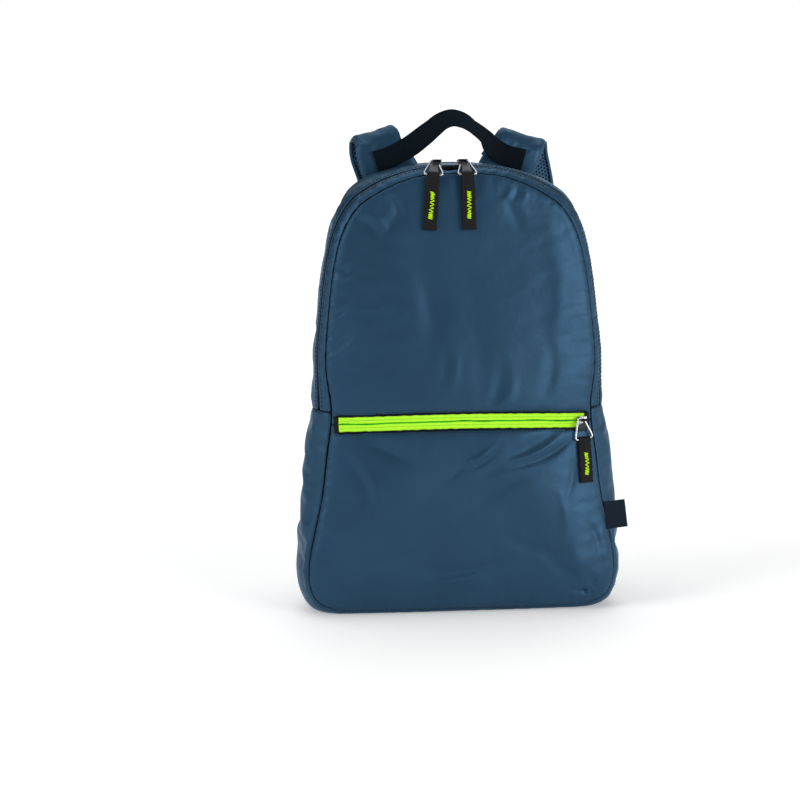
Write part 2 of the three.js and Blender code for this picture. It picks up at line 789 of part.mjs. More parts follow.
function ringGeometry() {
  const path = ringCurve();
  const corners = path.curves.map((line) => line.v1);
  const sides = 6;
  const sections = corners.map((corner, i) => {
    const before = corners[(i + corners.length - 1) % corners.length];
    const after = corners[(i + 1) % corners.length];
    const tangentIn = corner.clone().sub(before).normalize();
    const tangentOut = after.clone().sub(corner).normalize();
    const mean = tangentIn.add(tangentOut).normalize();
    const across = vector(-mean.y, mean.x, 0);
    return Array.from({ length: sides }, (_, k) => {
      const turn = (2 * Math.PI * k) / sides;
      return corner
        .clone()
        .addScaledVector(across, (Math.cos(turn) * ringWire) / 2)
        .add(vector(0, 0, (Math.sin(turn) * ringWire) / 2));
    });
  });
  const triangles = [];
  sections.forEach((section, i) => {
    const following = sections[(i + 1) % sections.length];
    for (let j = 0; j < sides; j += 1) {
      const k = (j + 1) % sides;
      triangles.push([section[j], section[k], following[k]]);
      triangles.push([section[j], following[k], following[j]]);
    }
  });
  return solidGeometry(triangles);
}

// Webbing folded round the ring's lower bar: origin on the bar, hanging towards -Y.
const eyeSpread = 0.9;
const eyeNeck = 1.6;

function pullGeometry(pullLength) {
  const eye = ringWire / 2 + fitGap;
  const outer = eye + pullThickness / 2 - fitGap;
  const half = pullThickness / 2;
  const side = new THREE.Shape();
  side.moveTo(-half, -pullLength);
  side.lineTo(half, -pullLength);
  side.lineTo(half, -outer * eyeNeck);
  side.absarc(0, 0, outer, -eyeSpread, Math.PI + eyeSpread);
  side.lineTo(-half, -outer * eyeNeck);
  side.closePath();
  const hole = new THREE.Path();
  hole.absarc(0, 0, eye, 0, 2 * Math.PI, true);
  side.holes.push(hole);
  const solid = new THREE.ExtrudeGeometry(side, {
    depth: pullWidth,
    bevelEnabled: false,
    curveSegments: 5,
  });
  solid.translate(0, 0, -pullWidth / 2);
  solid.rotateY(Math.PI / 2);
  return mergeVertices(new THREE.BufferGeometry().copy(bareGeometry(solid)), 1e-4);
}

function bareGeometry(geometry) {
  const bare = new THREE.BufferGeometry();
  bare.setAttribute("position", geometry.getAttribute("position"));
  if (geometry.index) bare.setIndex(geometry.index);
  return bare;
}

function orient(object, origin, xAxis, yAxis) {
  const x = xAxis.clone().normalize();
  const y = yAxis.clone().addScaledVector(x, -yAxis.dot(x)).normalize();
  const z = x.clone().cross(y);
  object.quaternion.setFromRotationMatrix(new THREE.Matrix4().makeBasis(x, y, z));
  object.position.copy(origin);
  return object;
}

// name: piece prefix; seat: surface point; normal: outwards; along: zip direction;
// ringTo: the end of the slider whose post the ring holds, 1 or -1 along the zip;
// ringDown: where the ring's lower bar lies; pullDown: where the pull's cut end lies.
function addSlider({ name, seat, normal, along, ringTo, ringDown, pullDown, pullLength }) {
  const base = seat.clone().addScaledVector(normal, sliderRide);
  const across = normal.clone().cross(along);
  orient(addPiece(`${name}_slider`, sliderGeometry(), steel), base, along, across);
  const archInside = sliderPlate + archClear * ringSitsShare;
  const postOut = (sliderLength / 2) * archReachShare;
  const ringSide = postOut + ringWire / 2 + fitGap - ringTopWidth / 2;
  const pivot = base
    .clone()
    .addScaledVector(normal, archInside)
    .addScaledVector(along, ringTo * ringSide);
  const hang = ringDown.clone().sub(pivot).normalize();
  const barAxis = along.clone().addScaledVector(hang, -along.dot(hang)).normalize();
  const ring = addPiece(`${name}_ring`, ringGeometry(), steel);
  orient(ring, pivot, barAxis, hang.clone().negate());
  const bar = pivot.clone().addScaledVector(hang, ringLength - ringTop);
  const pull = addPiece(`${name}_pull`, pullGeometry(pullLength), blackWebbing);
  const drop = pullDown.clone().sub(bar);
  drop.addScaledVector(barAxis, -drop.dot(barAxis)).normalize();
  orient(pull, bar, barAxis, drop.negate());
}

function addMainSliders() {
  const rows = [
    { name: "main_zip_right", place: rightSliderPlace, ringTo: 1 },
    { name: "main_zip_left", place: leftSliderPlace, ringTo: -1 },
  ];
  for (const { name, place, ringTo } of rows) {
    const across = acrossOf(place, mainZipSetback);
    const seat = gussetPoint(place, across);
    const normal = gussetNormal(place, across);
    const edge = frontSeam(place);
    const ringDown = vector(
      seat.x + ringTo * ringSplay,
      edge.y - mainRingClear,
      edge.z - mainRingSag,
    );
    const low = frontSurface(seat.x, edge.z - mainPullLength);
    const pullDown = vector(seat.x, low.y - pullThickness / 2 - mainPullClear, low.z);
    const along = vector(1, 0, 0);
    const pullLength = mainPullLength;
    addSlider({ name, seat, normal, along, ringTo, ringDown, pullDown, pullLength });
  }
}

function addPocketSlider() {
  const name = "pocket_zip";
  const x = tapeHalfLength - sliderLength / 2 + pocketSliderOut;
  const seat = frontSurface(x, pocketZipHeight);
  const normal = normalOf(frontSurface, x, pocketZipHeight, -1);
  const along = vector(-normal.y, normal.x, 0).normalize();
  const pullLength = pocketPullLength;
  const barX = x - pocketRingIn;
  const below = frontSurface(barX, pocketZipHeight - ringLength);
  const far = frontSurface(barX, pocketZipHeight - pullLength - ringLength);
  const ringDown = vector(barX, below.y - pocketRingClear, below.z);
  const pullDown = vector(barX, far.y - pullThickness / 2 - pocketPullClear, far.z);
  const ringTo = -1;
  addSlider({ name, seat, normal, along, ringTo, ringDown, pullDown, pullLength });
}

// Ribbons: webbing lofted through stations of centre, width direction and width

function ribbonSection({ centre, widthAxis, width, tangent, thickness }) {
  const normal = tangent.clone().cross(widthAxis).normalize();
  const corner = (w, t) => {
    return centre
      .clone()
      .addScaledVector(widthAxis, (w * width) / 2)
      .addScaledVector(normal, (t * thickness) / 2);
  };
  return [corner(-1, -1), corner(1, -1), corner(1, 1), corner(-1, 1)];
}

function ribbon(curve, steps, widthAxisAt, widthAt, thickness) {
  const sections = [];
  for (let i = 0; i <= steps; i += 1) {
    const share = i / steps;
    const tangent = curve.getTangent(share);
    const raw = widthAxisAt(share, tangent);
    const widthAxis = raw.addScaledVector(tangent, -raw.dot(tangent)).normalize();
    const centre = curve.getPoint(share);
    sections.push(
      ribbonSection({ centre, widthAxis, width: widthAt(share), tangent, thickness }),
    );
  }
  return loft(sections);
}

// Shoulder straps

const crownHeight = SEAMS[SEAMS.length - 1].backUp * bodyHeight;

function strapCurve(side) {
  return new THREE.CatmullRomCurve3(
    STRAP.map((row) => {
      const z = row.up * bodyHeight;
      const y = backPlane(z) + row.off * strapStandoff;
      return vector(side * row.out * baseHalfWidth + row.sway * strapSway, y, z);
    }),
    false,
    "centripetal",
  );
}

function betweenRows(rows, share, column) {
  const at = share * (rows.length - 1);
  const low = Math.min(rows.length - 2, Math.floor(at));
  return lerp(rows[low][column], rows[low + 1][column], at - low);
}

// Points of a strap layer's section, from the outer face down to the mesh face.
function strapFrame(curve, side, share) {
  const tangent = curve.getTangent(share);
  const lean = degToRad(betweenRows(STRAP, share, "lean")) * side;
  const widthAxis = vector(Math.cos(lean), 0, -Math.sin(lean));
  widthAxis.addScaledVector(tangent, -tangent.dot(widthAxis)).normalize();
  const outwards = widthAxis.clone().cross(tangent).normalize();
  return { centre: curve.getPoint(share), widthAxis, outwards };
}

// A closed section between two faces: top is domed where edgeTop differs, bottom is flat.
const domedSpots = [-1, -0.82, -0.4, 0.4, 0.82, 1];
const flatSpots = [-1, -0.5, 0, 0.5, 1];
const domeShoulder = 0.6;

function strapSection({ centre, widthAxis, outwards }, width, top, bottom, edgeTop) {
  const half = width / 2;
  const spot = (w, t) => {
    return centre
      .clone()
      .addScaledVector(widthAxis, w * half)
      .addScaledVector(outwards, t);
  };
  const isDomed = edgeTop !== top;
  const upper = (isDomed ? domedSpots : flatSpots).map((w) => {
    const rise = Math.min(1, (1 - Math.abs(w)) / domeShoulder) ** 0.5;
    return spot(w, lerp(edgeTop, top, rise));
  });
  const lower = [...flatSpots].reverse().map((w) => spot(w, bottom));
  return [...upper, ...lower];
}

// Stations along the strap, closer together where it folds over.
function strapShares() {
  const foldFrom = STRAP.findIndex((row) => row.at === "crown seam");
  const foldTo = STRAP.findIndex((row) => row.at === "upper");
  const shares = [0];
  for (let row = 0; row + 1 < STRAP.length; row += 1) {
    const steps = row >= foldFrom && row < foldTo ? 3 : 2;
    for (let i = 1; i <= steps; i += 1) shares.push((row + i / steps) / (STRAP.length - 1));
  }
  return shares;
}

function addStraps() {
  const half = strapThickness / 2;
  const meshTop = -half - fitGap;
  const meshFace = meshTop - meshThickness;
  const meshFrom = 1 / (STRAP.length - 1);
  for (const [side, label] of [[1, "right"], [-1, "left"]]) {
    const curve = strapCurve(side);
    const padSections = [];
    const meshSections = [];
    for (const share of strapShares()) {
      const frame = strapFrame(curve, side, share);
      const width = betweenRows(STRAP, share, "width") * strapBroad;
      padSections.push(strapSection(frame, width, half, -half, half * strapEdgeShare));
      const meshSection = strapSection(frame, width, meshFace, meshTop, meshFace);
      if (share >= meshFrom) meshSections.push(meshSection);
    }
    addPiece(`strap_${label}`, loft(padSections), nylon);
    addPiece(`strap_mesh_${label}`, loft(meshSections), airMesh);
  }
}

// Grab handle, lying on the front faces of the two strap roots

function addHandle() {
  const root = STRAP[1];
  const rootFace = backPlane(root.up * bodyHeight) + root.off * strapStandoff;
  const patchY = rootFace - strapThickness / 2 - 2 * fitGap - handleThickness / 2;
  const centres = HANDLE.map((row) => {
    const forward = (Math.sin(degToRad(row.tilt)) * handleWidth) / 2;
    return vector(
      row.out * handleReach,
      patchY - forward,
      crownHeight + row.up * handleRise,
    );
  });
  const curve = new THREE.CatmullRomCurve3(centres, false, "centripetal");
  const widthAxisAt = (share, tangent) => {
    const flat = vector(-tangent.z, 0, tangent.x).normalize();
    const up = flat.z < 0 ? flat.negate() : flat;
    const tilt = degToRad(betweenRows(HANDLE, share, "tilt"));
    return up.multiplyScalar(Math.cos(tilt)).add(vector(0, Math.sin(tilt), 0));
  };
  const geometry = ribbon(curve, 40, widthAxisAt, () => handleWidth, handleThickness);
  addPiece("grab_handle", geometry, navyWebbing);
}

// Adjusters: a loop at the strap end, a ladder buckle, the lower webbing and its tail

const buckleChamfer = 3;
const slotSpare = 0.8;
const tailStandoff = 4;

function buckleGeometry() {
  const plate = new THREE.Shape();
  const halfWidth = buckleWidth / 2;
  const halfHeight = buckleHeight / 2;
  const chamfer = buckleChamfer;
  plate.moveTo(-halfWidth + chamfer, -halfHeight);
  plate.lineTo(halfWidth - chamfer, -halfHeight);
  plate.lineTo(halfWidth, -halfHeight + chamfer);
  plate.lineTo(halfWidth, halfHeight - chamfer);
  plate.lineTo(halfWidth - chamfer, halfHeight);
  plate.lineTo(-halfWidth + chamfer, halfHeight);
  plate.lineTo(-halfWidth, halfHeight - chamfer);
  plate.lineTo(-halfWidth, -halfHeight + chamfer);
  plate.closePath();
  const slotHalf = webWidth / 2 + slotSpare;
  const slotRows = [
    { high: halfHeight - buckleBar, low: halfHeight - buckleBar - loopSlot },
    { high: halfHeight - 2 * buckleBar - loopSlot, low: -halfHeight + buckleBar },
  ];
  for (const row of slotRows) {
    const slot = new THREE.Path();
    slot.moveTo(-slotHalf, row.low);
    slot.lineTo(-slotHalf, row.high);
    slot.lineTo(slotHalf, row.high);
    slot.lineTo(slotHalf, row.low);
    slot.closePath();
    plate.holes.push(slot);
  }
  const solid = new THREE.ExtrudeGeometry(plate, { depth: buckleThickness, bevelEnabled: false });
  solid.translate(0, 0, -buckleThickness / 2);
  return mergeVertices(bareGeometry(solid), 1e-4);
}

// A flat band drawn as a side profile, in the YZ plane of its group, as wide as the webbing.
function bandFromProfile(points) {
  const sections = points.map((point, i) => {
    const before = points[Math.max(0, i - 1)];
    const after = points[Math.min(points.length - 1, i + 1)];
    const tangent = after.clone().sub(before).normalize();
    const normal = new THREE.Vector2(-tangent.y, tangent.x).multiplyScalar(webThickness / 2);
    const half = webWidth / 2;
    return [
      vector(-half, point.x - normal.x, point.y - normal.y),
      vector(half, point.x - normal.x, point.y - normal.y),
      vector(half, point.x + normal.x, point.y + normal.y),
      vector(-half, point.x + normal.x, point.y + normal.y),
    ];
  });
  return loft(sections);
}

function arcPoints(centreY, centreZ, radius, fromDegrees, toDegrees, steps) {
  return evenPlaces(fromDegrees, toDegrees, steps).map((degrees) => {
    const turn = degToRad(degrees);
    return new THREE.Vector2(
      centreY + radius * Math.cos(turn),
      centreZ + radius * Math.sin(turn),
    );
  });
}

// Each group has its origin in the buckle's middle, +Z up the strap and +Y away from the bag.
function addAdjusters() {
  for (const [side, label] of [[1, "right"], [-1, "left"]]) {
    const curve = strapCurve(side);
    const end = strapFrame(curve, side, 1);
    const down = curve.getTangent(1);
    const wrap = (buckleBar + webThickness) / 2 + fitGap + barCorner;
    const topBar = (buckleHeight - buckleBar) / 2;
    const drop = topBar + wrap + loopLeg;
    const group = new THREE.Group();
    const across = end.outwards.clone().cross(down.clone().negate());
    orient(group, end.centre.clone().addScaledVector(down, drop), across, end.outwards);
    group.updateMatrixWorld(true);
    bag.add(group);
    const buckle = addPiece(`buckle_${label}`, buckleGeometry(), plastic, group);
    buckle.rotateX(Math.PI / 2);
    const loopEnd = drop - fitGap;
    const loopPoints = [
      new THREE.Vector2(barCorner - wrap, loopEnd),
      new THREE.Vector2(-wrap, topBar + 1),
      ...arcPoints(0, topBar, wrap, 180, 360, 8).slice(1, -1),
      new THREE.Vector2(wrap, topBar + 1),
      new THREE.Vector2(wrap - barCorner, loopEnd),
    ];
    addPiece(`buckle_loop_${label}`, bandFromProfile(loopPoints), blackWebbing, group);
    const midBar = topBar - buckleBar - loopSlot;
    const low = -buckleHeight / 2;
    const anchorLow = anchorOn(group, webAnchorUp);
    const anchorHigh = anchorOn(group, webAnchorUp + webSewn);
    const webPoints = [
      anchorLow,
      anchorHigh,
      new THREE.Vector2(lerp(anchorHigh.x, -wrap, 0.75), lerp(anchorHigh.y, low, 0.6)),
      new THREE.Vector2(-wrap - fitGap, low - tailStandoff),
      new THREE.Vector2(-wrap, midBar - 1),
      ...arcPoints(0, midBar, wrap, 180, 0, 8).slice(1, -1),
      new THREE.Vector2(wrap, midBar - 1),
      new THREE.Vector2(wrap + fitGap, low - tailStandoff),
      new THREE.Vector2(wrap + tailStandoff, low - tailLength / 2),
      new THREE.Vector2(wrap + tailStandoff / 2, low - tailLength),
    ];
    addPiece(`webbing_${label}`, bandFromProfile(webPoints), blackWebbing, group);
  }
}

// Where the lower webbing lies on the back panel at a height, in the group's YZ profile.
function anchorOn(group, z) {
  const surface = backSurface(group.position.x, z);
  surface.y += webThickness / 2 + fitGap;
  const local = group.worldToLocal(surface);
  return new THREE.Vector2(local.y, local.z);
}

// Side tag, standing out of the right front seam and turned a little to the front

const tagTurn = 0.12;

function addTag() {
  const geometry = new THREE.BoxGeometry(tagWidth, tagThickness, tagHeight);
  const seat = seamAtHeight(tagUp);
  const above = seamAtHeight(tagUp + tagHeight / 2);
  const below = seamAtHeight(tagUp - tagHeight / 2);
  const up = above.clone().sub(below).normalize();
  const out = vector(1, -tagTurn, 0);
  out.addScaledVector(up, -out.dot(up)).normalize();
  const tag = addPiece("side_tag", geometry, navyWebbing);
  const centre = seat
    .clone()
    .addScaledVector(out, tagWidth / 2 + fitGap)
    .add(vector(0, -tagThickness, 0));
  orient(tag, centre, out, up.clone().cross(out));
}

function seamAtHeight(z) {
  const x = frontHalfWidthAt(z);
  return vector(x, frontPlane(z), z);
}

addFront();
addPocketZip();
addBackPanel();
addGusset();
addMainZip();
addMainSliders();
addPocketSlider();
addStraps();
addHandle();
addAdjusters();
addTag();

export default bag;
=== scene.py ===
"""Looks of a packable daypack in thin blue nylon, built around its packed frame.

Sizes are worked out in millimetres, as the frame's own source does, and meshes are in metres.
"""
import json
import math
import bmesh
import bpy
import numpy as np
from mathutils import Matrix, Vector
from mathutils.bvhtree import BVHTree
from mathutils.geometry import delaunay_2d_cdt

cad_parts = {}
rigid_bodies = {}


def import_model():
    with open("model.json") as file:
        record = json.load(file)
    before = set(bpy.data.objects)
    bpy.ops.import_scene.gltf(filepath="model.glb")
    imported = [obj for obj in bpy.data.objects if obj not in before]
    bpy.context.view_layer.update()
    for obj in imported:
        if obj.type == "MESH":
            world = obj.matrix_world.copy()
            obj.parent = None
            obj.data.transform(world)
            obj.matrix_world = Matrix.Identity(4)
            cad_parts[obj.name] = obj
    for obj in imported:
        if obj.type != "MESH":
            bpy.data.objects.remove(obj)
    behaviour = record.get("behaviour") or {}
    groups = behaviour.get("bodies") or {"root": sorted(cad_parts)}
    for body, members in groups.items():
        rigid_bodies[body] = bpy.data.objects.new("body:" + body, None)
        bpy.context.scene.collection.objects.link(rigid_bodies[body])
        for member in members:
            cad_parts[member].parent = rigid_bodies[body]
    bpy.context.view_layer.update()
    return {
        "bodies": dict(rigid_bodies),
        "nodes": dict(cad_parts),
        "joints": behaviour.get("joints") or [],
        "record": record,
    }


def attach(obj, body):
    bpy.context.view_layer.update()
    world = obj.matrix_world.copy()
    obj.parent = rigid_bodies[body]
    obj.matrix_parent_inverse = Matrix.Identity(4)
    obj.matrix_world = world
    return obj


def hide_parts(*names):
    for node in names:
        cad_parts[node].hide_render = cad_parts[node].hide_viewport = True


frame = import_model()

bl_info = {
    "name": "Packable daypack",
    "version": (1, 0, 0),
    "blender": (4, 5, 0),
    "location": "View3D > Sidebar > Daypack",
    "description": "Builds the cloth, webbing, zips and straps of a packable daypack",
    "category": "Object",
}

MM = 0.001

# Body sizes, in millimetres
BODY_HEIGHT = 420.0
BASE_HALF_WIDTH = 148.0
BASE_DEPTH = 120.0
CROWN_DEPTH = 91.0
TAPER_START = 60.0
FRONT_TAPER_SHARE = 0.7
GUSSET_BULGE = 20.0
BULGE_LEAD = 1.2
FULLNESS_LOW = 24.0
FULLNESS_HIGH = 15.0
BACK_FULLNESS = 6.0
PANEL_CENTRE = 200.0
PILLOW_FLATNESS = 2.4
PILLOW_EDGE = 0.8
DEEPEST_FOLD = 3.0
CLOTH_WALL = 1.0

# Main zip
ZIP_SETBACK = 13.0
ZIP_SLOT = 2.6
ZIP_MOUTH = 7.5
SLIDER_SPACING = 25.0
SLIDER_OFFSET = -8.5
COIL_WIDTH = 5.0

# Pocket zip
POCKET_ZIP = 188.0
TAPE_SHOWN = 14.0
TAPE_END_MARGIN = 7.6
END_TAB = 4.0

# Slider, ring and pull
SLIDER_LENGTH = 11.0
SLIDER_WIDTH = 8.0
SLIDER_PLATE = 1.5
SLIDER_RIDE = 0.45
ARCH_CLEAR = 3.0
ARCH_BAR = 1.3
ARCH_POST = 1.4
ARCH_WIDTH = 2.2
ARCH_REACH = 0.78
RING_SITS = 0.55
RING_WIRE = 1.3
RING_TOP_WIDTH = 6.4
RING_LENGTH = 20.0
RING_CORNER = 1.6
RING_SPLAY = 3.7
PULL_WIDTH = 13.0
MAIN_PULL = 54.0
POCKET_PULL = 42.0
PULL_THICKNESS = 2.6
FIT_GAP = 0.3

# Handle, straps and adjusters
HANDLE_WIDTH = 21.0
HANDLE_THICKNESS = 1.8
HANDLE_REACH = 75.0
HANDLE_RISE = 42.0
STRAP_THICKNESS = 7.0
MESH_THICKNESS = 2.4
STRAP_STANDOFF = 38.0
STRAP_SWAY = 12.0
STRAP_BROAD = 58.0
WEB_WIDTH = 25.0
WEB_THICKNESS = 1.6
BUCKLE_WIDTH = 33.0
BUCKLE_HEIGHT = 29.0
BUCKLE_THICKNESS = 4.4
BUCKLE_BAR = 4.2
LOOP_SLOT = 8.5
TAIL_LENGTH = 80.0
LOOP_LEG = 6.0
BAR_CORNER = 0.8
WEB_ANCHOR_UP = 36.0
WEB_SEWN = 22.0

# Side tag
TAG_WIDTH = 19.0
TAG_HEIGHT = 27.0
TAG_THICKNESS = 1.0
TAG_UP = 92.0
TAG_TURN = 0.09

# Seam rows from the middle of the base up to the crown: out, up, back out, back up, bulge
SEAMS = (
    (0, 0.007, 0, 0.003, 0.5),
    (0.595, 0.008, 0.568, 0.004, 0.5),
    (0.824, 0.013, 0.757, 0.012, 0.57),
    (0.939, 0.031, 0.865, 0.04, 0.65),
    (0.993, 0.071, 0.905, 0.086, 0.62),
    (0.993, 0.124, 0.899, 0.138, 0.7),
    (0.953, 0.2, 0.872, 0.21, 0.85),
    (0.909, 0.274, 0.851, 0.281, 0.95),
    (0.878, 0.362, 0.838, 0.367, 1),
    (0.845, 0.467, 0.818, 0.469, 0.88),
    (0.878, 0.571, 0.804, 0.574, 0.62),
    (0.855, 0.69, 0.784, 0.693, 0.54),
    (0.814, 0.798, 0.764, 0.805, 0.52),
    (0.757, 0.871, 0.743, 0.883, 0.5),
    (0.662, 0.926, 0.696, 0.938, 0.46),
    (0.534, 0.958, 0.581, 0.979, 0.42),
    (0.385, 0.983, 0.405, 1.002, 0.38),
    (0.23, 0.998, 0.23, 1.014, 0.35),
    (0, 1.002, 0, 1.018, 0.34),
)
JOIN_ROW = 9

# Front folds: out, up, run in degrees, length, width, depth
FRONT_FOLDS = (
    (0, 0.447, 0, 1.01, 0.101, 1),
    (0.86, 0.06, 122, 0.18, 0.034, 0.87),
    (-0.86, 0.06, 58, 0.18, 0.034, 0.87),
    (0.42, 0.385, 28, 0.39, 0.061, 0.73),
    (0.3, 0.315, 34, 0.47, 0.074, 0.6),
    (-0.4, 0.37, 150, 0.41, 0.068, 0.6),
    (0.05, 0.12, 4, 0.61, 0.108, 0.53),
    (-0.42, 0.9, 60, 0.18, 0.047, 0.5),
    (0.34, 0.91, 118, 0.18, 0.047, 0.5),
    (0.1, 0.62, 96, 0.54, 0.108, 0.47),
)

# Gusset folds: place, across, spread, width, depth
GUSSET_FOLDS = (
    (11.4, 0.6, 0.35, 0.2, 0.83),
    (8.6, 0.62, 0.4, 0.22, 1),
    (9, 0.5, 0.22, 0.4, 0.53),
    (5.6, 0.66, 0.45, 0.2, 1),
)

# Shoulder strap rows: out, up, off, sway, width, lean
STRAP = (
    (0.342, 0.967, 0.14, 0, 0.97, 28),
    (0.39, 1, 0.165, 0, 0.95, 28),
    (0.448, 1.034, 0.17, 0, 0.85, 26),
    (0.478, 1.06, 0.28, 0.17, 0.79, 24),
    (0.5, 1.07, 0.57, 0.17, 0.78, 18),
    (0.512, 1.06, 0.87, 0.2, 0.78, 10),
    (0.514, 1.03, 0.98, 0.3, 0.8, 0),
    (0.492, 0.96, 1.04, 1, 0.86, 0),
    (0.52, 0.82, 1.06, 1, 0.97, 0),
    (0.6, 0.66, 0.95, 0.6, 1, 0),
    (0.665, 0.5, 0.8, 0.3, 0.84, 0),
    (0.69, 0.4, 0.62, 0.2, 0.6, 0),
)

# Handle rows: out, up, tilt
HANDLE = (
    (-0.96, -0.02, 0),
    (-0.74, 0.11, 0),
    (-0.51, 0.34, 5),
    (-0.37, 0.53, 18),
    (-0.22, 0.75, 32),
    (-0.1, 0.92, 38),
    (0.04, 1, 39),
    (0.18, 0.94, 44),
    (0.3, 0.8, 54),
    (0.46, 0.58, 48),
    (0.56, 0.35, 26),
    (0.73, 0.14, 0),
    (1, 0.01, 0),
)


# Numbers and curves


def lerp(a, b, share):
    return a + (b - a) * share


def smoothstep(x, low, high):
    share = np.clip((x - low) / (high - low), 0, 1)
    return share * share * (3 - 2 * share)


def unit(vectors):
    vectors = np.asarray(vectors, float)
    return vectors / np.maximum(np.linalg.norm(vectors, axis=-1, keepdims=True), 1e-12)


def bell(x, width, power=2):
    return np.exp(-((x / width) ** power))


def xyz(x, y, z):
    return np.stack(np.broadcast_arrays(x, y, z), axis=-1)


def pairs(u, v):
    return np.stack(np.broadcast_arrays(u, v), axis=-1)


def read_rows(at, run, rows):
    """Rows of values read at places along their run."""
    return np.stack([np.interp(at, run, rows[:, k]) for k in range(rows.shape[1])], axis=1)


def halved(low, high, lies_before):
    """The place between low and high where lies_before turns false."""
    for _ in range(40):
        middle = (low + high) / 2
        if lies_before(middle):
            low = middle
        else:
            high = middle
    return low


class Curve:
    """A centripetal Catmull-Rom curve through points, the same one that the frame uses."""

    def __init__(self, points, closed=False):
        self.points = np.asarray(points, float)
        self.closed = closed

    def at(self, share):
        count = len(self.points)
        spans = count if self.closed else count - 1
        place = np.atleast_1d(np.asarray(share, float)) * spans
        first = np.floor(place).astype(int)
        if not self.closed:
            first = np.clip(first, 0, spans - 1)
        part = (place - first)[:, None]
        p = self.points
        if not self.closed:
            p = np.vstack([2 * p[0] - p[1], p, 2 * p[-1] - p[-2]])
            first = first + 1
        total = len(p)
        p0, p1, p2, p3 = (p[(first + k) % total] for k in (-1, 0, 1, 2))
        spans = ((p0, p1), (p1, p2), (p2, p3))
        d0, d1, d2 = (np.sqrt(np.linalg.norm(b - a, axis=1))[:, None] for a, b in spans)
        m1 = ((p1 - p0) / d0 - (p2 - p0) / (d0 + d1) + (p2 - p1) / d1) * d1
        m2 = ((p2 - p1) / d1 - (p3 - p1) / (d1 + d2) + (p3 - p2) / d2) * d1
        square = -3 * p1 + 3 * p2 - 2 * m1 - m2
        cube = 2 * p1 - 2 * p2 + m1 + m2
        return p1 + part * (m1 + part * (square + part * cube))

    def tangent(self, share):
        share = np.atleast_1d(np.asarray(share, float))
        step = 1e-4
        low, high = share - step, share + step
        if not self.closed:
            low, high = np.clip(low, 0, 1), np.clip(high, 0, 1)
        return unit(self.at(high) - self.at(low))


def arc_lengths(points):
    steps = np.linalg.norm(np.diff(points, axis=0), axis=1)
    return np.concatenate([[0], np.cumsum(steps)])


def ripple(along, seed, waves):
    """A steady, uneven ripple along a line: waves are (length, weight) pairs."""
    draw = np.random.default_rng(seed)
    total = np.zeros_like(along, dtype=float)
    for length, weight in waves:
        turn = 2 * math.pi * draw.random()
        drift = 2 * math.pi * draw.random()
        wobble = 0.9 * np.sin(2 * math.pi * along / (length * 4.3) + drift)
        total += weight * np.sin(2 * math.pi * along / length + turn + wobble)
    return total


# Body surfaces


def depth_at(z):
    return lerp(BASE_DEPTH, CROWN_DEPTH, smoothstep(z, TAPER_START, BODY_HEIGHT))


def front_plane(z):
    return -BASE_DEPTH / 2 + FRONT_TAPER_SHARE * (BASE_DEPTH - depth_at(z))


def back_plane(z):
    return front_plane(z) + depth_at(z)


def mirrored(row):
    out, up, back_out, back_up, bulge = row
    return (-out, up, -back_out, back_up, bulge)


SEAM_ROWS = list(SEAMS) + [mirrored(row) for row in reversed(SEAMS[1:-1])]
ROW_COUNT = len(SEAM_ROWS)
BULGES = np.array([row[4] for row in SEAM_ROWS])
FRONT_CURVE = Curve([(r[0] * BASE_HALF_WIDTH, 0, r[1] * BODY_HEIGHT) for r in SEAM_ROWS], True)
BACK_CURVE = Curve([(r[2] * BASE_HALF_WIDTH, 0, r[3] * BODY_HEIGHT) for r in SEAM_ROWS], True)


def seam_point(curve, plane, place):
    point = curve.at(np.mod(place, ROW_COUNT) / ROW_COUNT)
    point[:, 1] = plane(point[:, 2])
    return point


def front_seam(place):
    return seam_point(FRONT_CURVE, front_plane, place)


def back_seam(place):
    return seam_point(BACK_CURVE, back_plane, place)


def bulge_at(place):
    at = np.mod(place, ROW_COUNT)
    low = np.floor(at).astype(int) % ROW_COUNT
    share = smoothstep(at - np.floor(at), 0, 1)
    return lerp(BULGES[low], BULGES[(low + 1) % ROW_COUNT], share) * GUSSET_BULGE


def rim_table(curve):
    rim = curve.at(np.arange(2880) / 2880)
    up = rim[:, 2] - PANEL_CENTRE
    angle = np.arctan2(up, rim[:, 0])
    order = np.argsort(angle)
    return angle[order], np.hypot(rim[:, 0], up)[order]


FRONT_RIM = rim_table(FRONT_CURVE)
BACK_RIM = rim_table(BACK_CURVE)


def reach_in(table, x, z):
    up = z - PANEL_CENTRE
    limit = np.interp(np.arctan2(up, x), table[0], table[1], period=2 * math.pi)
    return np.hypot(x, up) / limit


def pillow(reach):
    return np.maximum(0, 1 - np.minimum(reach, 1) ** PILLOW_FLATNESS) ** PILLOW_EDGE


def front_folds(x, z):
    depth = 0
    for out, up, run, length, width, deep in FRONT_FOLDS:
        turn = math.radians(run)
        dx, dz = x - out * BASE_HALF_WIDTH, z - up * BODY_HEIGHT
        along = (dx * math.cos(turn) + dz * math.sin(turn)) / (length * BASE_HALF_WIDTH)
        over = (dz * math.cos(turn) - dx * math.sin(turn)) / (width * BASE_HALF_WIDTH)
        depth = depth + deep * DEEPEST_FOLD * np.exp(-2 * along**2 - 2 * over**2)
    return depth


def front_y(x, z):
    full = pillow(reach_in(FRONT_RIM, x, z))
    fullness = lerp(FULLNESS_LOW, FULLNESS_HIGH, smoothstep(z, 0, BODY_HEIGHT))
    return front_plane(z) - fullness * full + front_folds(x, z) * np.minimum(1, full * 3)


def back_y(x, z):
    return back_plane(z) + BACK_FULLNESS * pillow(reach_in(BACK_RIM, x, z))


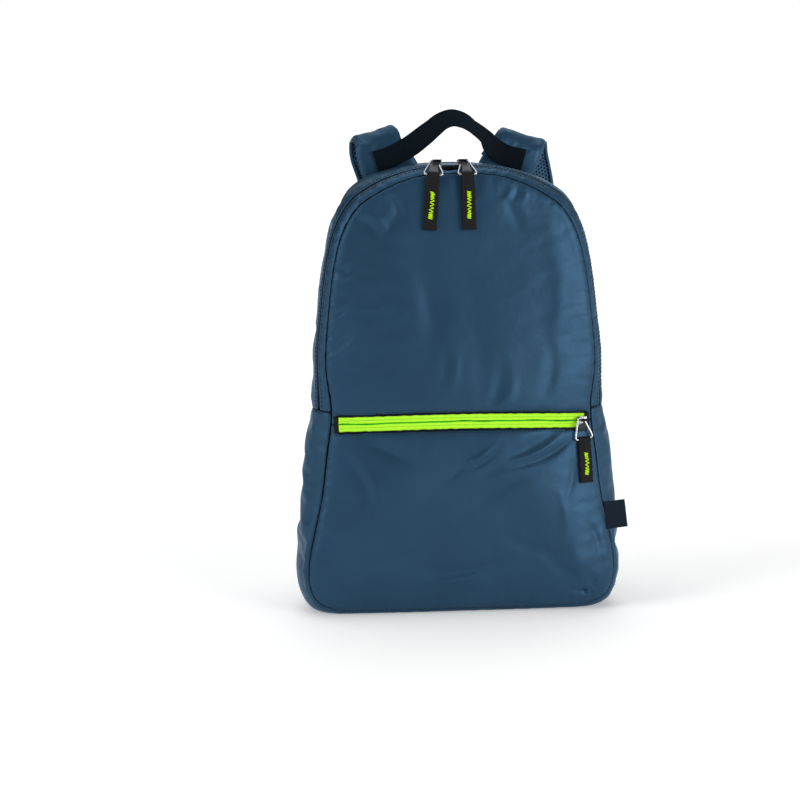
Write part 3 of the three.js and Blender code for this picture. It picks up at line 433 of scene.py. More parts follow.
def sheet_normal(height, x, z, outwards):
    """Unit normals of a height field over the XZ plane, on its outer side."""
    step = 0.5
    slope_x = (height(x + step, z) - height(x - step, z)) / (2 * step)
    slope_z = (height(x, z + step) - height(x, z - step)) / (2 * step)
    normal = xyz(-slope_x, np.ones_like(slope_x), -slope_z) * outwards
    return unit(normal)


def seam_outwards(place):
    step = 0.05
    run = front_seam(place + step) + back_seam(place + step)
    run -= front_seam(place - step) + back_seam(place - step)
    run[:, 1] = 0
    run = unit(run)
    return xyz(run[:, 2], np.zeros(len(run)), -run[:, 0])


def gusset_folds(place, across):
    depth = 0
    at = np.mod(place, ROW_COUNT)
    for row, middle, spread, width, deep in GUSSET_FOLDS:
        for side in (row, ROW_COUNT - row):
            along = (at - side) / spread
            over = (across - middle) / width
            depth = depth + deep * DEEPEST_FOLD * np.exp(-2 * along**2 - 2 * over**2)
    return depth


def bulge_shape(across):
    return np.sin(math.pi * across * (1 + BULGE_LEAD) / (1 + BULGE_LEAD * across))


def gusset_point(place, across):
    """Points of the gusset: place in rows round the seams, across 0 at the front, 1 at the back."""
    place, across = np.broadcast_arrays(np.asarray(place, float), np.asarray(across, float))
    shape = place.shape
    place, across = place.ravel(), across.ravel()
    out = bulge_at(place) * bulge_shape(across) - gusset_folds(place, across)
    point = lerp(front_seam(place), back_seam(place), across[:, None])
    point = point + seam_outwards(place) * out[:, None]
    point[:, 2] = np.maximum(0, point[:, 2])
    return point.reshape(*shape, 3)


def gusset_normal(place, across):
    place, across = np.broadcast_arrays(np.asarray(place, float), np.asarray(across, float))
    step = 0.02
    round_ = gusset_point(place + step, across) - gusset_point(place - step, across)
    low, high = np.maximum(0, across - step), np.minimum(1, across + step)
    over = gusset_point(place, high) - gusset_point(place, low)
    normal = unit(np.cross(round_, over))
    out = seam_outwards(place.ravel()).reshape(normal.shape)
    return normal * np.where(np.sum(normal * out, axis=-1, keepdims=True) < 0, -1, 1)


def seam_depth(place):
    place = np.atleast_1d(place)
    return back_seam(place)[:, 1] - front_seam(place)[:, 1]


def across_of(place, setback):
    return setback / seam_depth(place)


def front_place_at(z):
    """The place on the right where the front seam passes the height z."""
    return halved(3.0, float(len(SEAMS) - 1), lambda place: front_seam(place)[0, 2] < z)


def crown_place(x):
    """The place on the crown where the zip line passes x."""

    def lies_right(place):
        return gusset_point(place, across_of(place, ZIP_SETBACK)).ravel()[0] > x

    return halved(ROW_COUNT / 2 - 3, ROW_COUNT / 2 + 3, lies_right)


RIGHT_SLIDER = crown_place(SLIDER_OFFSET + SLIDER_SPACING / 2)
LEFT_SLIDER = crown_place(SLIDER_OFFSET - SLIDER_SPACING / 2)
ZIP_FROM = JOIN_ROW
ZIP_TO = ROW_COUNT - JOIN_ROW
TAPE_HALF = front_seam(front_place_at(POCKET_ZIP))[0, 0] - TAPE_END_MARGIN


def between_sliders(place):
    """1 midway between the two main sliders, falling to 0 at each of them."""
    share = (place - RIGHT_SLIDER) / (LEFT_SLIDER - RIGHT_SLIDER)
    return np.sin(math.pi / 2 * np.maximum(0, 4 * share * (1 - share)))


def mouth_at(place):
    """Half the zip's opening at a place: the slot, or wider between the two sliders."""
    return ZIP_SLOT / 2 + (ZIP_MOUTH - ZIP_SLOT) / 2 * between_sliders(place)


# Meshes


def grid_faces(rows, columns, wrap=False):
    """Quads between rows of points; wrap joins the last row to the first."""
    faces = []
    last = rows if wrap else rows - 1
    for i in range(last):
        following = (i + 1) % rows
        for j in range(columns - 1):
            a, b = i * columns + j, following * columns + j
            faces.append((a, a + 1, b + 1, b))
    return faces


def tube_faces(sections, count, capped=True, wrap=False):
    """Quads round closed sections of count points each, with flat ends."""
    faces = []
    last = sections if wrap else sections - 1
    for i in range(last):
        here, following = i * count, (i + 1) % sections * count
        for j in range(count):
            k = (j + 1) % count
            faces.append((here + j, here + k, following + k, following + j))
    if capped and not wrap:
        faces.append(tuple(reversed(range(count))))
        faces.append(tuple((sections - 1) * count + j for j in range(count)))
    return faces


def new_piece(name, points, faces, material, uv=None, outwards=True):
    """A smooth mesh object at the origin. points are in millimetres, uv in metres per point."""
    mesh = bpy.data.meshes.new(name)
    points = np.asarray(points, float).reshape(-1, 3)
    mesh.from_pydata((points * MM).tolist(), [], [tuple(int(i) for i in face) for face in faces])
    mesh.materials.append(material)
    mesh.polygons.foreach_set("use_smooth", np.ones(len(mesh.polygons), bool))
    if uv is not None:
        uv = np.asarray(uv, float).reshape(-1, 2)
        corners = np.empty(len(mesh.loops), int)
        mesh.loops.foreach_get("vertex_index", corners)
        layer = mesh.uv_layers.new(name="cloth")
        layer.data.foreach_set("uv", (uv[corners] * MM).ravel())
    piece = bpy.data.objects.new(name, mesh)
    bpy.context.scene.collection.objects.link(piece)
    if outwards:
        turn_outwards(piece)
    return piece


def rework(piece, work):
    """Runs work on the piece's mesh, opened as a bmesh."""
    mesh = bmesh.new()
    mesh.from_mesh(piece.data)
    work(mesh)
    mesh.to_mesh(piece.data)
    mesh.free()


def turn_outwards(piece):
    rework(piece, lambda mesh: bmesh.ops.recalc_face_normals(mesh, faces=mesh.faces))


def face_towards(piece, away_from):
    """Turns a sheet's faces so that they look away from a point given in millimetres."""
    middle = Vector(away_from) * MM

    def turn(mesh):
        bmesh.ops.recalc_face_normals(mesh, faces=mesh.faces)
        score = 0
        for face in mesh.faces:
            score += face.normal.dot(face.calc_center_median() - middle) * face.calc_area()
        if score < 0:
            bmesh.ops.reverse_faces(mesh, faces=mesh.faces)

    rework(piece, turn)


def pick_none():
    for other in bpy.context.selected_objects:
        other.select_set(False)


def pick_only(piece):
    pick_none()
    piece.select_set(True)
    bpy.context.view_layer.objects.active = piece


def apply_modifiers(piece):
    pick_only(piece)
    for modifier in list(piece.modifiers):
        bpy.ops.object.modifier_apply(modifier=modifier.name)


def thicken(piece, thickness, offset=-1.0):
    wall = piece.modifiers.new("Wall", "SOLIDIFY")
    wall.thickness = thickness * MM
    wall.offset = offset
    wall.use_quality_normals = True
    apply_modifiers(piece)


def join_all(pieces, name):
    pick_only(pieces[0])
    for piece in pieces[1:]:
        piece.select_set(True)
    if len(pieces) > 1:
        bpy.ops.object.join()
    pieces[0].name = name
    pieces[0].data.name = name
    return pieces[0]


def finish_piece(piece, slot, *nodes):
    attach(piece, "root")
    if nodes:
        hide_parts(*nodes)
    return piece


def points_of(piece):
    flat = np.empty(len(piece.data.vertices) * 3)
    piece.data.vertices.foreach_get("co", flat)
    return flat.reshape(-1, 3) / MM


def move_points(piece, points):
    piece.data.vertices.foreach_set("co", (np.asarray(points) * MM).ravel())
    piece.data.update()


def fill_outline(outline, spacing, inset=0.6):
    """Even triangles inside a closed 2-D outline: points, triangles and how many lie on the rim."""
    outline = np.asarray(outline, float)
    low, high = outline.min(axis=0), outline.max(axis=0)
    row_step = spacing * math.sqrt(3) / 2
    rows = np.arange(low[1] + row_step / 2, high[1], row_step)
    spots = []
    for k, v in enumerate(rows):
        shift = spacing / 2 if k % 2 else 0
        u = np.arange(low[0] + shift, high[0], spacing)
        spots.append(pairs(u, np.full_like(u, v)))
    spots = np.vstack(spots)
    following = np.roll(outline, -1, axis=0)
    inside = np.zeros(len(spots), bool)
    nearest = np.full(len(spots), 1e9)
    for a, b in zip(outline, following):
        crosses = (a[1] > spots[:, 1]) != (b[1] > spots[:, 1])
        if abs(b[1] - a[1]) > 1e-9:
            at = a[0] + (spots[:, 1] - a[1]) / (b[1] - a[1]) * (b[0] - a[0])
            inside ^= crosses & (spots[:, 0] < at)
        run = b - a
        share = np.clip(((spots - a) @ run) / max(run @ run, 1e-12), 0, 1)
        gap = np.linalg.norm(spots - (a + share[:, None] * run), axis=1)
        nearest = np.minimum(nearest, gap)
    kept = spots[inside & (nearest > inset * spacing)]
    cloud = np.vstack([outline, kept])
    count = len(outline)
    edges = [(i, (i + 1) % count) for i in range(count)]
    found = delaunay_2d_cdt([Vector(p) for p in cloud], edges, [], 1, 1e-7)
    points = np.array([(p.x, p.y) for p in found[0]])
    return points, [tuple(face) for face in found[2]], count


def spread_out(piece, values, rounds):
    """Values at the points, evened out over their neighbours so many rounds."""
    ends = np.empty(len(piece.data.edges) * 2, int)
    piece.data.edges.foreach_get("vertices", ends)
    first, second = ends.reshape(-1, 2).T
    count = len(values)
    degree = np.bincount(first, minlength=count) + np.bincount(second, minlength=count)
    for _ in range(rounds):
        sums = []
        for column in values.T:
            given = np.bincount(first, column[second], count)
            sums.append(given + np.bincount(second, column[first], count))
        total = np.stack(sums, axis=1)
        values = 0.5 * values + 0.5 * total / np.maximum(degree, 1)[:, None]
    return values


EVEN_ROUNDS = 70
EVEN_SHARE = 0.9


def settle(piece, held, grow, pressure, cap, frames=14, bending=0.5, kept=1.0):
    """Lets a sheet find its own folds: held is 1 at sewn points, grow is spare cloth.

    kept is the share of each fold that stays, as if the cloth had been smoothed by hand.
    """
    before = points_of(piece)
    group = piece.vertex_groups.new(name="sewn")
    for share in np.unique(np.round(held, 2)):
        if share > 0:
            picked = np.nonzero(np.round(held, 2) == share)[0].tolist()
            group.add(picked, float(share), "REPLACE")
    cloth = piece.modifiers.new("Cloth", "CLOTH")
    settings = cloth.settings
    settings.vertex_group_mass = group.name
    settings.quality = 5
    settings.mass = 0.15
    settings.tension_stiffness = 20
    settings.compression_stiffness = 20
    settings.shear_stiffness = 6
    settings.bending_stiffness = bending
    settings.shrink_min = -grow
    settings.use_pressure = True
    settings.uniform_pressure_force = pressure
    settings.effector_weights.gravity = 0
    cloth.collision_settings.use_collision = False
    cloth.point_cache.frame_end = frames
    for step in range(1, frames + 1):
        bpy.context.scene.frame_set(step)
    seen = piece.evaluated_get(bpy.context.evaluated_depsgraph_get())
    after = np.empty(len(before) * 3)
    seen.data.vertices.foreach_get("co", after)
    moved = after.reshape(-1, 3) / MM - before
    moved -= spread_out(piece, moved, EVEN_ROUNDS) * EVEN_SHARE
    moved *= ((1 - held) * kept)[:, None]
    length = np.linalg.norm(moved, axis=1, keepdims=True)
    moved *= np.minimum(1, cap / np.maximum(length, 1e-9))
    piece.modifiers.remove(cloth)
    piece.vertex_groups.remove(group)
    bpy.context.scene.frame_set(1)
    move_points(piece, before + moved)


# Materials


class Number:
    """A shader socket; Python's operators on it add Math nodes."""

    def __init__(self, shader, socket):
        self.shader = shader
        self.socket = socket

    def math(self, operation, *inputs):
        return self.shader.math(operation, *inputs)

    def __add__(self, other):
        return self.math("ADD", self, other)

    __radd__ = __add__

    def __sub__(self, other):
        return self.math("SUBTRACT", self, other)

    def __mul__(self, other):
        return self.math("MULTIPLY", self, other)

    def __truediv__(self, other):
        return self.math("DIVIDE", self, other)

    def sin(self):
        return self.math("SINE", self)

    def abs(self):
        return self.math("ABSOLUTE", self)


class Finish:
    """One material: a Principled surface whose inputs are fed by procedural patterns."""

    def __init__(self, name, roughness=0.6, **constants):
        self.material = bpy.data.materials.new(name)
        self.material.use_nodes = True
        self.tree = self.material.node_tree
        self.tree.nodes.clear()
        self.surface = self.tree.nodes.new("ShaderNodeBsdfPrincipled")
        output = self.tree.nodes.new("ShaderNodeOutputMaterial")
        self.tree.links.new(self.surface.outputs[0], output.inputs[0])
        self.surface.inputs["Roughness"].default_value = roughness
        for key, value in constants.items():
            self.surface.inputs[key.replace("_", " ")].default_value = value

    def put(self, socket, value):
        if isinstance(value, Number):
            self.tree.links.new(value.socket, socket)
        else:
            socket.default_value = value

    def node(self, kind, settings=None, inputs=None, output=0):
        node = self.tree.nodes.new(kind)
        for key, value in (settings or {}).items():
            if key == "stops":
                self.set_stops(node.color_ramp, value)
            else:
                setattr(node, key, value)
        for key, value in (inputs or {}).items():
            self.put(node.inputs[key], value)
        return Number(self, node.outputs[output])

    @staticmethod
    def set_stops(ramp, stops):
        while len(ramp.elements) < len(stops):
            ramp.elements.new(0.5)
        for element, (place, shade) in zip(ramp.elements, stops):
            element.position = place
            element.color = shade

    def math(self, operation, *inputs):
        settings = {"operation": operation}
        return self.node("ShaderNodeMath", settings, dict(enumerate(inputs)))

    def cloth_uv(self):
        """u and v in millimetres, along and across the cloth."""
        uv = self.node("ShaderNodeUVMap", {"uv_map": "cloth"})
        split = self.tree.nodes.new("ShaderNodeSeparateXYZ")
        self.tree.links.new(uv.socket, split.inputs[0])
        return Number(self, split.outputs[0]) / MM, Number(self, split.outputs[1]) / MM

    def spot(self):
        return self.node("ShaderNodeTexCoord", output=3)

    def noise(self, size, detail=2.0, vector=None, rough=0.5):
        """Noise from 0 to 1 whose features are about size millimetres wide."""
        where = vector or self.spot()
        inputs = {"Vector": where, "Scale": 1 / (size * MM), "Detail": detail, "Roughness": rough}
        return self.node("ShaderNodeTexNoise", None, inputs)

    def mix(self, factor, first, second, blend="MIX"):
        settings = {"data_type": "RGBA", "blend_type": blend}
        return self.node("ShaderNodeMix", settings, {0: factor, 6: first, 7: second}, 2)

    def clamp(self, value, low, high):
        inputs = {"Value": value, "From Min": low, "From Max": high}
        return self.node("ShaderNodeMapRange", None, inputs)

    def bump(self, height, depth, strength=1.0):
        """height from 0 to 1 stands for depth millimetres."""
        inputs = {"Height": height, "Distance": depth * MM, "Strength": strength}
        self.put(self.surface.inputs["Normal"], self.node("ShaderNodeBump", None, inputs))

    def colour(self, value):
        self.put(self.surface.inputs["Base Color"], value)

    def glow(self, colour, strength):
        """Emission on top of the lit colour: a painted glow on the zip tape and threads, which are
        no lamps; on the floor, an even white.
        """
        self.surface.inputs["Emission Color"].default_value = colour
        self.surface.inputs["Emission Strength"].default_value = strength

    def rough(self, value):
        self.put(self.surface.inputs["Roughness"], value)


def linear(red, green, blue):
    """A colour read as 0-255 screen values, as the shader's linear one."""

    def one(value):
        value /= 255
        return value / 12.92 if value <= 0.04045 else ((value + 0.055) / 1.055) ** 2.4

    return (one(red), one(green), one(blue), 1.0)


def shaded(colour, factor):
    return tuple(c * factor for c in colour[:3]) + (1.0,)


def weave(u, v, pitch):
    """Plain weave: threads over and under each other, pitch millimetres apart."""
    turn = math.pi / pitch
    over = (u * turn).sin()
    under = (v * turn).sin()
    return over * under * 0.5 + 0.5


def make_nylon(name, colour, rough=0.4):
    """Thin coated nylon: fine plain weave, soft creases, uneven sheen."""
    finish = Finish(name, rough, Metallic=0.4, Specular_IOR_Level=0.2)
    finish.surface.inputs["Specular Tint"].default_value = (0.5, 0.78, 1, 1)
    u, v = finish.cloth_uv()
    threads = weave(u, v, 0.55)
    broad = finish.noise(70, 2)
    crumple = finish.noise(16, 3, rough=0.55)
    fine = finish.noise(1.6, 2)
    tone = finish.mix(finish.clamp(broad, 0.3, 0.7), shaded(colour, 0.93), shaded(colour, 1.07))
    slubs = finish.clamp(fine, 0.25, 0.75)
    tone = finish.mix(slubs * 0.3, tone, finish.mix(1.0, tone, (0.9, 0.92, 0.95, 1), "MULTIPLY"))
    finish.colour(finish.mix(threads * 0.16, tone, shaded(colour, 0.72)))
    finish.rough(rough + (crumple - 0.5) * 0.18 + threads * 0.05)
    finish.bump(crumple * 0.9 + threads * 0.05, 1.0, 0.55)
    return finish.material


def make_webbing(name, colour, rib, rough=0.75):
    """Flat woven webbing: ribs along its length, crossed by fine picks, with painted shade in the
    grooves between them.
    """
    finish = Finish(name, rough, Specular_IOR_Level=0.08)
    u, v = finish.cloth_uv()
    ribs = (v * (math.pi / rib)).sin().abs()
    picks = (u * (math.pi / 0.9) + (v * (math.pi / rib)).sin() * 1.2).sin().abs()
    fuzz = finish.noise(0.8, 2)
    height = ribs * 0.6 + picks * 0.3 + fuzz * 0.1
    worn = finish.noise(22, 2)
    tone = finish.mix(worn, shaded(colour, 0.8), shaded(colour, 1.25))
    # Painted shade: the colour falls to 45 per cent where the weave's height is low, in the
    # grooves.
    finish.colour(finish.mix(height, shaded(colour, 0.45), tone))
    finish.rough(rough + (fuzz - 0.5) * 0.2)
    finish.bump(height, 0.35, 0.7)
    return finish.material


def make_tape(name, colour):
    """Green zip tape with fine cross ribs: a painted glow over the whole tape, painted highlights
    on the raised ribs and painted shade between them.
    """
    finish = Finish(name, 0.65, Specular_IOR_Level=0.1)
    # Painted glow: the tape gives off light in its own colour.
    finish.glow(colour, 0.1)
    u, v = finish.cloth_uv()
    ribs = (u * (math.pi / 1.1)).sin().abs()
    rows = (v * (math.pi / 0.8)).sin().abs()
    fuzz = finish.noise(1.2, 2)
    height = ribs * 0.5 + rows * 0.4 + fuzz * 0.1
    # Painted highlight and shade: brighter where the ribs stand up, darker between them.
    finish.colour(finish.mix(height, shaded(colour, 0.8), shaded(colour, 1.12)))
    finish.bump(height, 0.25, 0.6)
    return finish.material


def make_thread(name, colour, glow=0.0):
    finish = Finish(name, 0.5, Specular_IOR_Level=0.1)
    finish.glow(colour, glow)
    twist = finish.noise(0.5, 1)
    finish.colour(finish.mix(twist, shaded(colour, 0.75), shaded(colour, 1.2)))
    finish.bump(twist, 0.1, 0.4)
    return finish.material


def make_metal(name, colour, rough, metallic=1.0):
    finish = Finish(name, rough, Metallic=metallic)
    smear = finish.noise(5, 3)
    finish.colour(finish.mix(smear, shaded(colour, 0.85), colour))
    finish.rough(rough + (smear - 0.5) * 0.15)
    finish.bump(finish.noise(2.2, 2), 0.08, 0.3)
    return finish.material


def make_plastic(name, colour, rough=0.42):
    finish = Finish(name, rough)
    grain = finish.noise(0.7, 2)
    wear = finish.noise(9, 2)
    finish.colour(finish.mix(wear, shaded(colour, 0.85), shaded(colour, 1.3)))
    finish.rough(rough + (grain - 0.5) * 0.2)
    finish.bump(grain, 0.12, 0.5)
    return finish.material


def make_foam(name, colour):
    finish = Finish(name, 0.95)
    cells = finish.noise(0.9, 3)
    finish.colour(finish.mix(cells, shaded(colour, 0.6), shaded(colour, 1.2)))
    finish.bump(cells, 0.4, 0.8)
    return finish.material


def make_label(name, colour):
    """Dense satin label cloth with a hair-fine twill."""
    finish = Finish(name, 0.6, Specular_IOR_Level=0.12)
    u, v = finish.cloth_uv()
    twill = ((u + v) * (math.pi / 0.5)).sin() * 0.5 + 0.5
    fuzz = finish.noise(1.0, 2)
    finish.colour(finish.mix(twill * 0.5 + fuzz * 0.5, shaded(colour, 0.7), shaded(colour, 1.3)))
    finish.bump(twill, 0.12, 0.5)
    return finish.material


def make_floor(name):
    finish = Finish(name, 0.85, Specular_IOR_Level=0.0)
    finish.glow((1, 1, 1, 1), 0.24)
    tone = finish.noise(400, 2)
    finish.colour(finish.mix(tone, (0.9, 0.9, 0.9, 1), (0.92, 0.92, 0.92, 1)))
    return finish.material


FINISHES = {}


def finish_of(name):
    return FINISHES[name]


def mix_finishes(looks):
    FINISHES.update(
        nylon=make_nylon("daypack_nylon", looks.nylon_colour),
        handle=make_webbing("navy_webbing", looks.handle_colour, 1.5),
        black_web=make_webbing("black_webbing", looks.pull_colour, 1.3, 0.6),
        tape=make_tape("green_zip_tape", looks.tape_colour),
        # Painted glow on the coil's green centre line.
        tape_line=make_thread("green_coil_thread", linear(12, 150, 18), 0.22),
        coil=make_thread("dark_coil", linear(6, 11, 17)),
        tape_thread=make_thread("green_tape_thread", shaded(looks.tape_colour, 0.7)),
        thread=make_thread("navy_thread", shaded(looks.nylon_colour, 0.4)),
        # Near-black: the real colour of the handle's stitching thread, and painted shade on the
        # seam tapes and on the strips along the pocket tape.
        dark_thread=make_thread("black_navy_thread_and_shade", shaded(looks.handle_colour, 0.7)),
        # Painted glow on the lime zigzag thread.
        bright_thread=make_thread("lime_thread", looks.thread_colour, 0.04),
        slider=make_metal("slider_metal", linear(138, 140, 144), 0.24, 0.65),
        pressed=make_metal("pressed_metal", linear(62, 64, 67), 0.42, 0.5),
        knurl=make_metal("dark_metal", linear(30, 33, 38), 0.35),
        wire=make_metal("bright_wire", linear(172, 174, 178), 0.2),
        plastic=make_plastic("black_plastic", linear(24, 26, 29)),
        net=make_thread("air_mesh_net", linear(66, 104, 134)),
        foam=make_foam("dark_foam", linear(14, 22, 30)),
        label=make_label("bare_label", linear(12, 26, 40)),
        floor=make_floor("pale_floor"),
    )


# Cloth

# Creases of the front: x and z of the middle in millimetres, run in degrees from +X,
# length and width in millimetres, depth inwards (negative stands out) in millimetres
CREASES = (
    (70, 158, 24, 38, 3.6, -2.0),
    (78, 152, 24, 42, 4.2, 2.4),
    (60, 143, 26, 44, 6.0, -1.2),
    (14, 154, 29, 20, 3.6, -1.7),
    (18, 149, 29, 20, 3.8, 1.5),
    (-8, 139, 40, 16, 4.0, 1.2),
    (104, 128, 78, 26, 5.0, 1.4),
    (97, 96, 96, 30, 6.0, -1.2),
    (128, 72, 112, 22, 5.0, 1.6),
    (94, 44, -40, 34, 9.0, 2.0),
    (112, 46, -60, 34, 15.0, -4.0),
    (60, 66, -24, 40, 9.0, 1.6),
    (127, 13, -44, 9, 2.2, 1.6),
    (118, 19, -8, 3.6, 2.4, 4.6),
    (110, 20, -4, 9, 2.6, 1.0),
    (106, 15, 4, 10, 4.0, -0.8),
    (128, 30, 64, 9, 2.6, 0.8),
    (134, 27, 60, 9, 2.6, 0.8),
    (10, 44, 12, 46, 7.0, 1.7),
    (-10, 34, 8, 40, 6.0, -1.4),
    (-60, 60, 22, 40, 8.0, 1.6),
    (-92, 120, 105, 34, 6.0, 1.5),
    (-84, 126, 108, 34, 6.0, -1.1),
    (-70, 158, 150, 26, 4.0, 1.4),
    (54, 401, 70, 9, 3.2, 1.6),
    (62, 400, 80, 10, 3.0, -1.5),
    (45, 399, 55, 9, 3.4, -1.3),
    (-62, 392, 120, 16, 5.0, 1.5),
    (-88, 372, 140, 20, 5.5, 1.6),
    (-80, 378, 142, 18, 5.0, -1.2),
    (-8, 236, 84, 24, 6.0, -0.8),
    (-16, 240, 84, 26, 7.0, 0.7),
    (44, 214, 72, 26, 8.0, -1.2),
    (33, 218, 74, 28, 8.0, 1.2),
    (84, 232, 80, 34, 8.0, 1.5),
    (-112, 330, 20, 16, 3.2, 1.3),
    (-112, 322, 24, 16, 3.2, -1.1),
    (-114, 290, 28, 18, 3.6, 1.3),
    (-114, 262, 30, 18, 4.0, 1.4),
    (-112, 254, 30, 18, 3.6, -1.2),
    (-30, 300, 100, 60, 14.0, 2.2),
    (96, 300, 86, 70, 14.0, -2.0),
)


TIGHT_CREASE = 4.5
CREASE_BEND = 0.22


def creases(x, z):
    """How far the creases sink the front at x and z; a tight crease has a sharp bottom."""
    depth = np.zeros_like(x)
    for at_x, at_z, run, length, width, deep in CREASES:
        turn = math.radians(run)
        dx, dz = x - at_x, z - at_z
        along = (dx * math.cos(turn) + dz * math.sin(turn)) / length
        bend = CREASE_BEND * length * along * along
        over = (dz * math.cos(turn) - dx * math.sin(turn) - bend) / width
        sharpness = 1.5 if width < TIGHT_CREASE else 2
        depth += deep * np.exp(-2 * along**2 - 1.6 * np.abs(over) ** sharpness)
    return depth


# Points inside the body and beside its panels, which the sheets' faces look away from
BODY_MIDDLE = (0, 0, 220)
BEHIND_FRONT = (0, 60, 220)
BEFORE_BACK = (0, -60, 220)
BEHIND_TAPE = (0, 60, 188)

FOLDS_KEPT = 0.45
SEAM_PUCKERS = ((12.5, 0.5), (19, 0.35), (8, 0.25))
CLOTH_STEP = 4.0
BACK_STEP = 7.0


def beside_seam(distance, along, seed, depth=1.5, pucker=0.55):
    """How far cloth sinks next to a seam, with puckers that die out away from it."""
    dip = depth * bell(distance, 2.6)
    rise = np.exp(-distance / 9) * (1 - bell(distance, 2))
    return dip + pucker * ripple(along, seed, SEAM_PUCKERS) * rise


def rim_of(curve):
    rim = curve.at(np.arange(1440) / 1440)[:, [0, 2]]
    run = unit(np.roll(rim, -1, axis=0) - np.roll(rim, 1, axis=0))
    along = arc_lengths(np.vstack([rim, rim[:1]]))[:-1]
    return rim, pairs(run[:, 1], -run[:, 0]), along


FRONT_EDGE = rim_of(FRONT_CURVE)
BACK_EDGE = rim_of(BACK_CURVE)


def rim_gap(edge, points):
    """Distance to a seam and the length along it, for 2-D points."""
    rim, normals, along = edge
    gap = np.empty(len(points))
    length = np.empty(len(points))
    for start in range(0, len(points), 500):
        part = points[start : start + 500]
        far = np.linalg.norm(part[:, None, :] - rim[None, :, :], axis=2)
        nearest = far.argmin(axis=1)
        gap[start : start + 500] = np.abs(np.sum((part - rim[nearest]) * normals[nearest], axis=1))
        length[start : start + 500] = along[nearest]
    return gap, length


def even_line(points, step):
    """The same line with points an even step apart, both ends kept."""
    points = np.asarray(points, float)
    length = arc_lengths(points)
    count = max(2, int(round(length[-1] / step)) + 1)
    at = np.linspace(0, length[-1], count)
    return read_rows(at, length, points)


def inset_rim(curve, places, inset):
    rim = curve.at(np.mod(places, ROW_COUNT) / ROW_COUNT)
    up = rim[:, 2] - PANEL_CENTRE
    reach = 1 - inset / np.hypot(rim[:, 0], up)
    return pairs(rim[:, 0] * reach, PANEL_CENTRE + up * reach)


WINDOW_HALF = TAPE_HALF + END_TAB + 2 * FIT_GAP
# How far the near-black strips show beside the pocket tape: painted shade under the cloth's edges.
SHADE_STRIP_SHOWN = 0.9
ZIP_FALL = 3.4


def zip_level(x):
    """Height of the pocket zip, which the side seams draw down a little."""
    return POCKET_ZIP - ZIP_FALL * (np.asarray(x) / TAPE_HALF) ** 2


def front_outline(above):
    """Outline of one part of the front, with its half of the pocket zip's window."""
    sign = 1 if above else -1
    level = zip_level(WINDOW_HALF) + sign * FIT_GAP / 2
    start = front_place_at(float(level))
    places = np.linspace(start, ROW_COUNT - start if above else -start, 900)
    along = arc_lengths(inset_rim(FRONT_CURVE, places, 0))
    inset = 1.5 + 0.2 * ripple(along, 14, ((10, 1), (15, 1)))
    rim = inset_rim(FRONT_CURVE, places, inset)
    x = np.linspace(-WINDOW_HALF, WINDOW_HALF, 90)
    edge = pairs(x, zip_level(x) + sign * (TAPE_SHOWN / 2 + SHADE_STRIP_SHOWN))
    left, right = np.array([-WINDOW_HALF, level]), np.array([WINDOW_HALF, level])
    lines = [even_line(rim, CLOTH_STEP)]
    for run in ([rim[-1], left], [left, edge[0]], edge, [edge[-1], right], [right, rim[0]]):
        lines.append(even_line(run, CLOTH_STEP)[1:])
    return np.vstack(lines)[:-1]


def tape_gap(x, z, above):
    """Distance from the window's long edge in one part of the front."""
    edge = zip_level(x) + (1 if above else -1) * (TAPE_SHOWN / 2 + SHADE_STRIP_SHOWN)
    return np.where(np.abs(x) < WINDOW_HALF + 1, np.abs(z - edge), 1e3)


def make_front(above, name, node, seed, grow, pressure):
    outline = front_outline(above)
    flat, faces, _ = fill_outline(outline, CLOTH_STEP)
    x, z = flat[:, 0], flat[:, 1]
    gap, along = rim_gap(FRONT_EDGE, flat)
    from_tape = tape_gap(x, z, above)
    sunk = beside_seam(gap, along, 3)
    sunk += 0.7 * bell(from_tape, 1.2)
    wave = 0.14 * ripple(x, seed, ((17, 1), (27, 0.7)))
    sunk += wave * np.exp(-from_tape / 14) * (1 - bell(from_tape, 4))
    y = front_y(x, z) + sunk
    held = np.maximum(gap < 2.4, from_tape < 3.2).astype(float)
    piece = new_piece(name, xyz(x, y, z), faces, finish_of("nylon"), flat, False)
    face_towards(piece, BEHIND_FRONT)
    kept = FOLDS_KEPT * smoothstep(from_tape, 4, 60)
    settle(piece, held, grow, pressure, cap=7, kept=kept)
    smooth_once(piece)
    at = points_of(piece)
    gap, _ = rim_gap(FRONT_EDGE, at[:, [0, 2]])
    from_tape = tape_gap(at[:, 0], at[:, 2], above)
    at[:, 1] += creases(at[:, 0], at[:, 2]) * np.clip(np.minimum(gap, from_tape) / 9, 0, 1)
    move_points(piece, at)
    thicken(piece, CLOTH_WALL)
    return finish_piece(piece, "nylon", node)


def smooth_once(piece):
    smooth = piece.modifiers.new("Smooth", "SUBSURF")
    smooth.levels = smooth.render_levels = 1
    apply_modifiers(piece)


def finish_sheet(piece, slot, *nodes):
    smooth_once(piece)
    thicken(piece, CLOTH_WALL)
    return finish_piece(piece, slot, *nodes)


def even_places(start, end, step, across=0.5):
    """Places an even step apart along the gusset."""
    dense = np.linspace(start, end, 1600)
    length = arc_lengths(gusset_point(dense, across))
    count = int(round(length[-1] / step)) + 1
    at = np.linspace(0, length[-1], count)
    return np.interp(at, length, dense), at


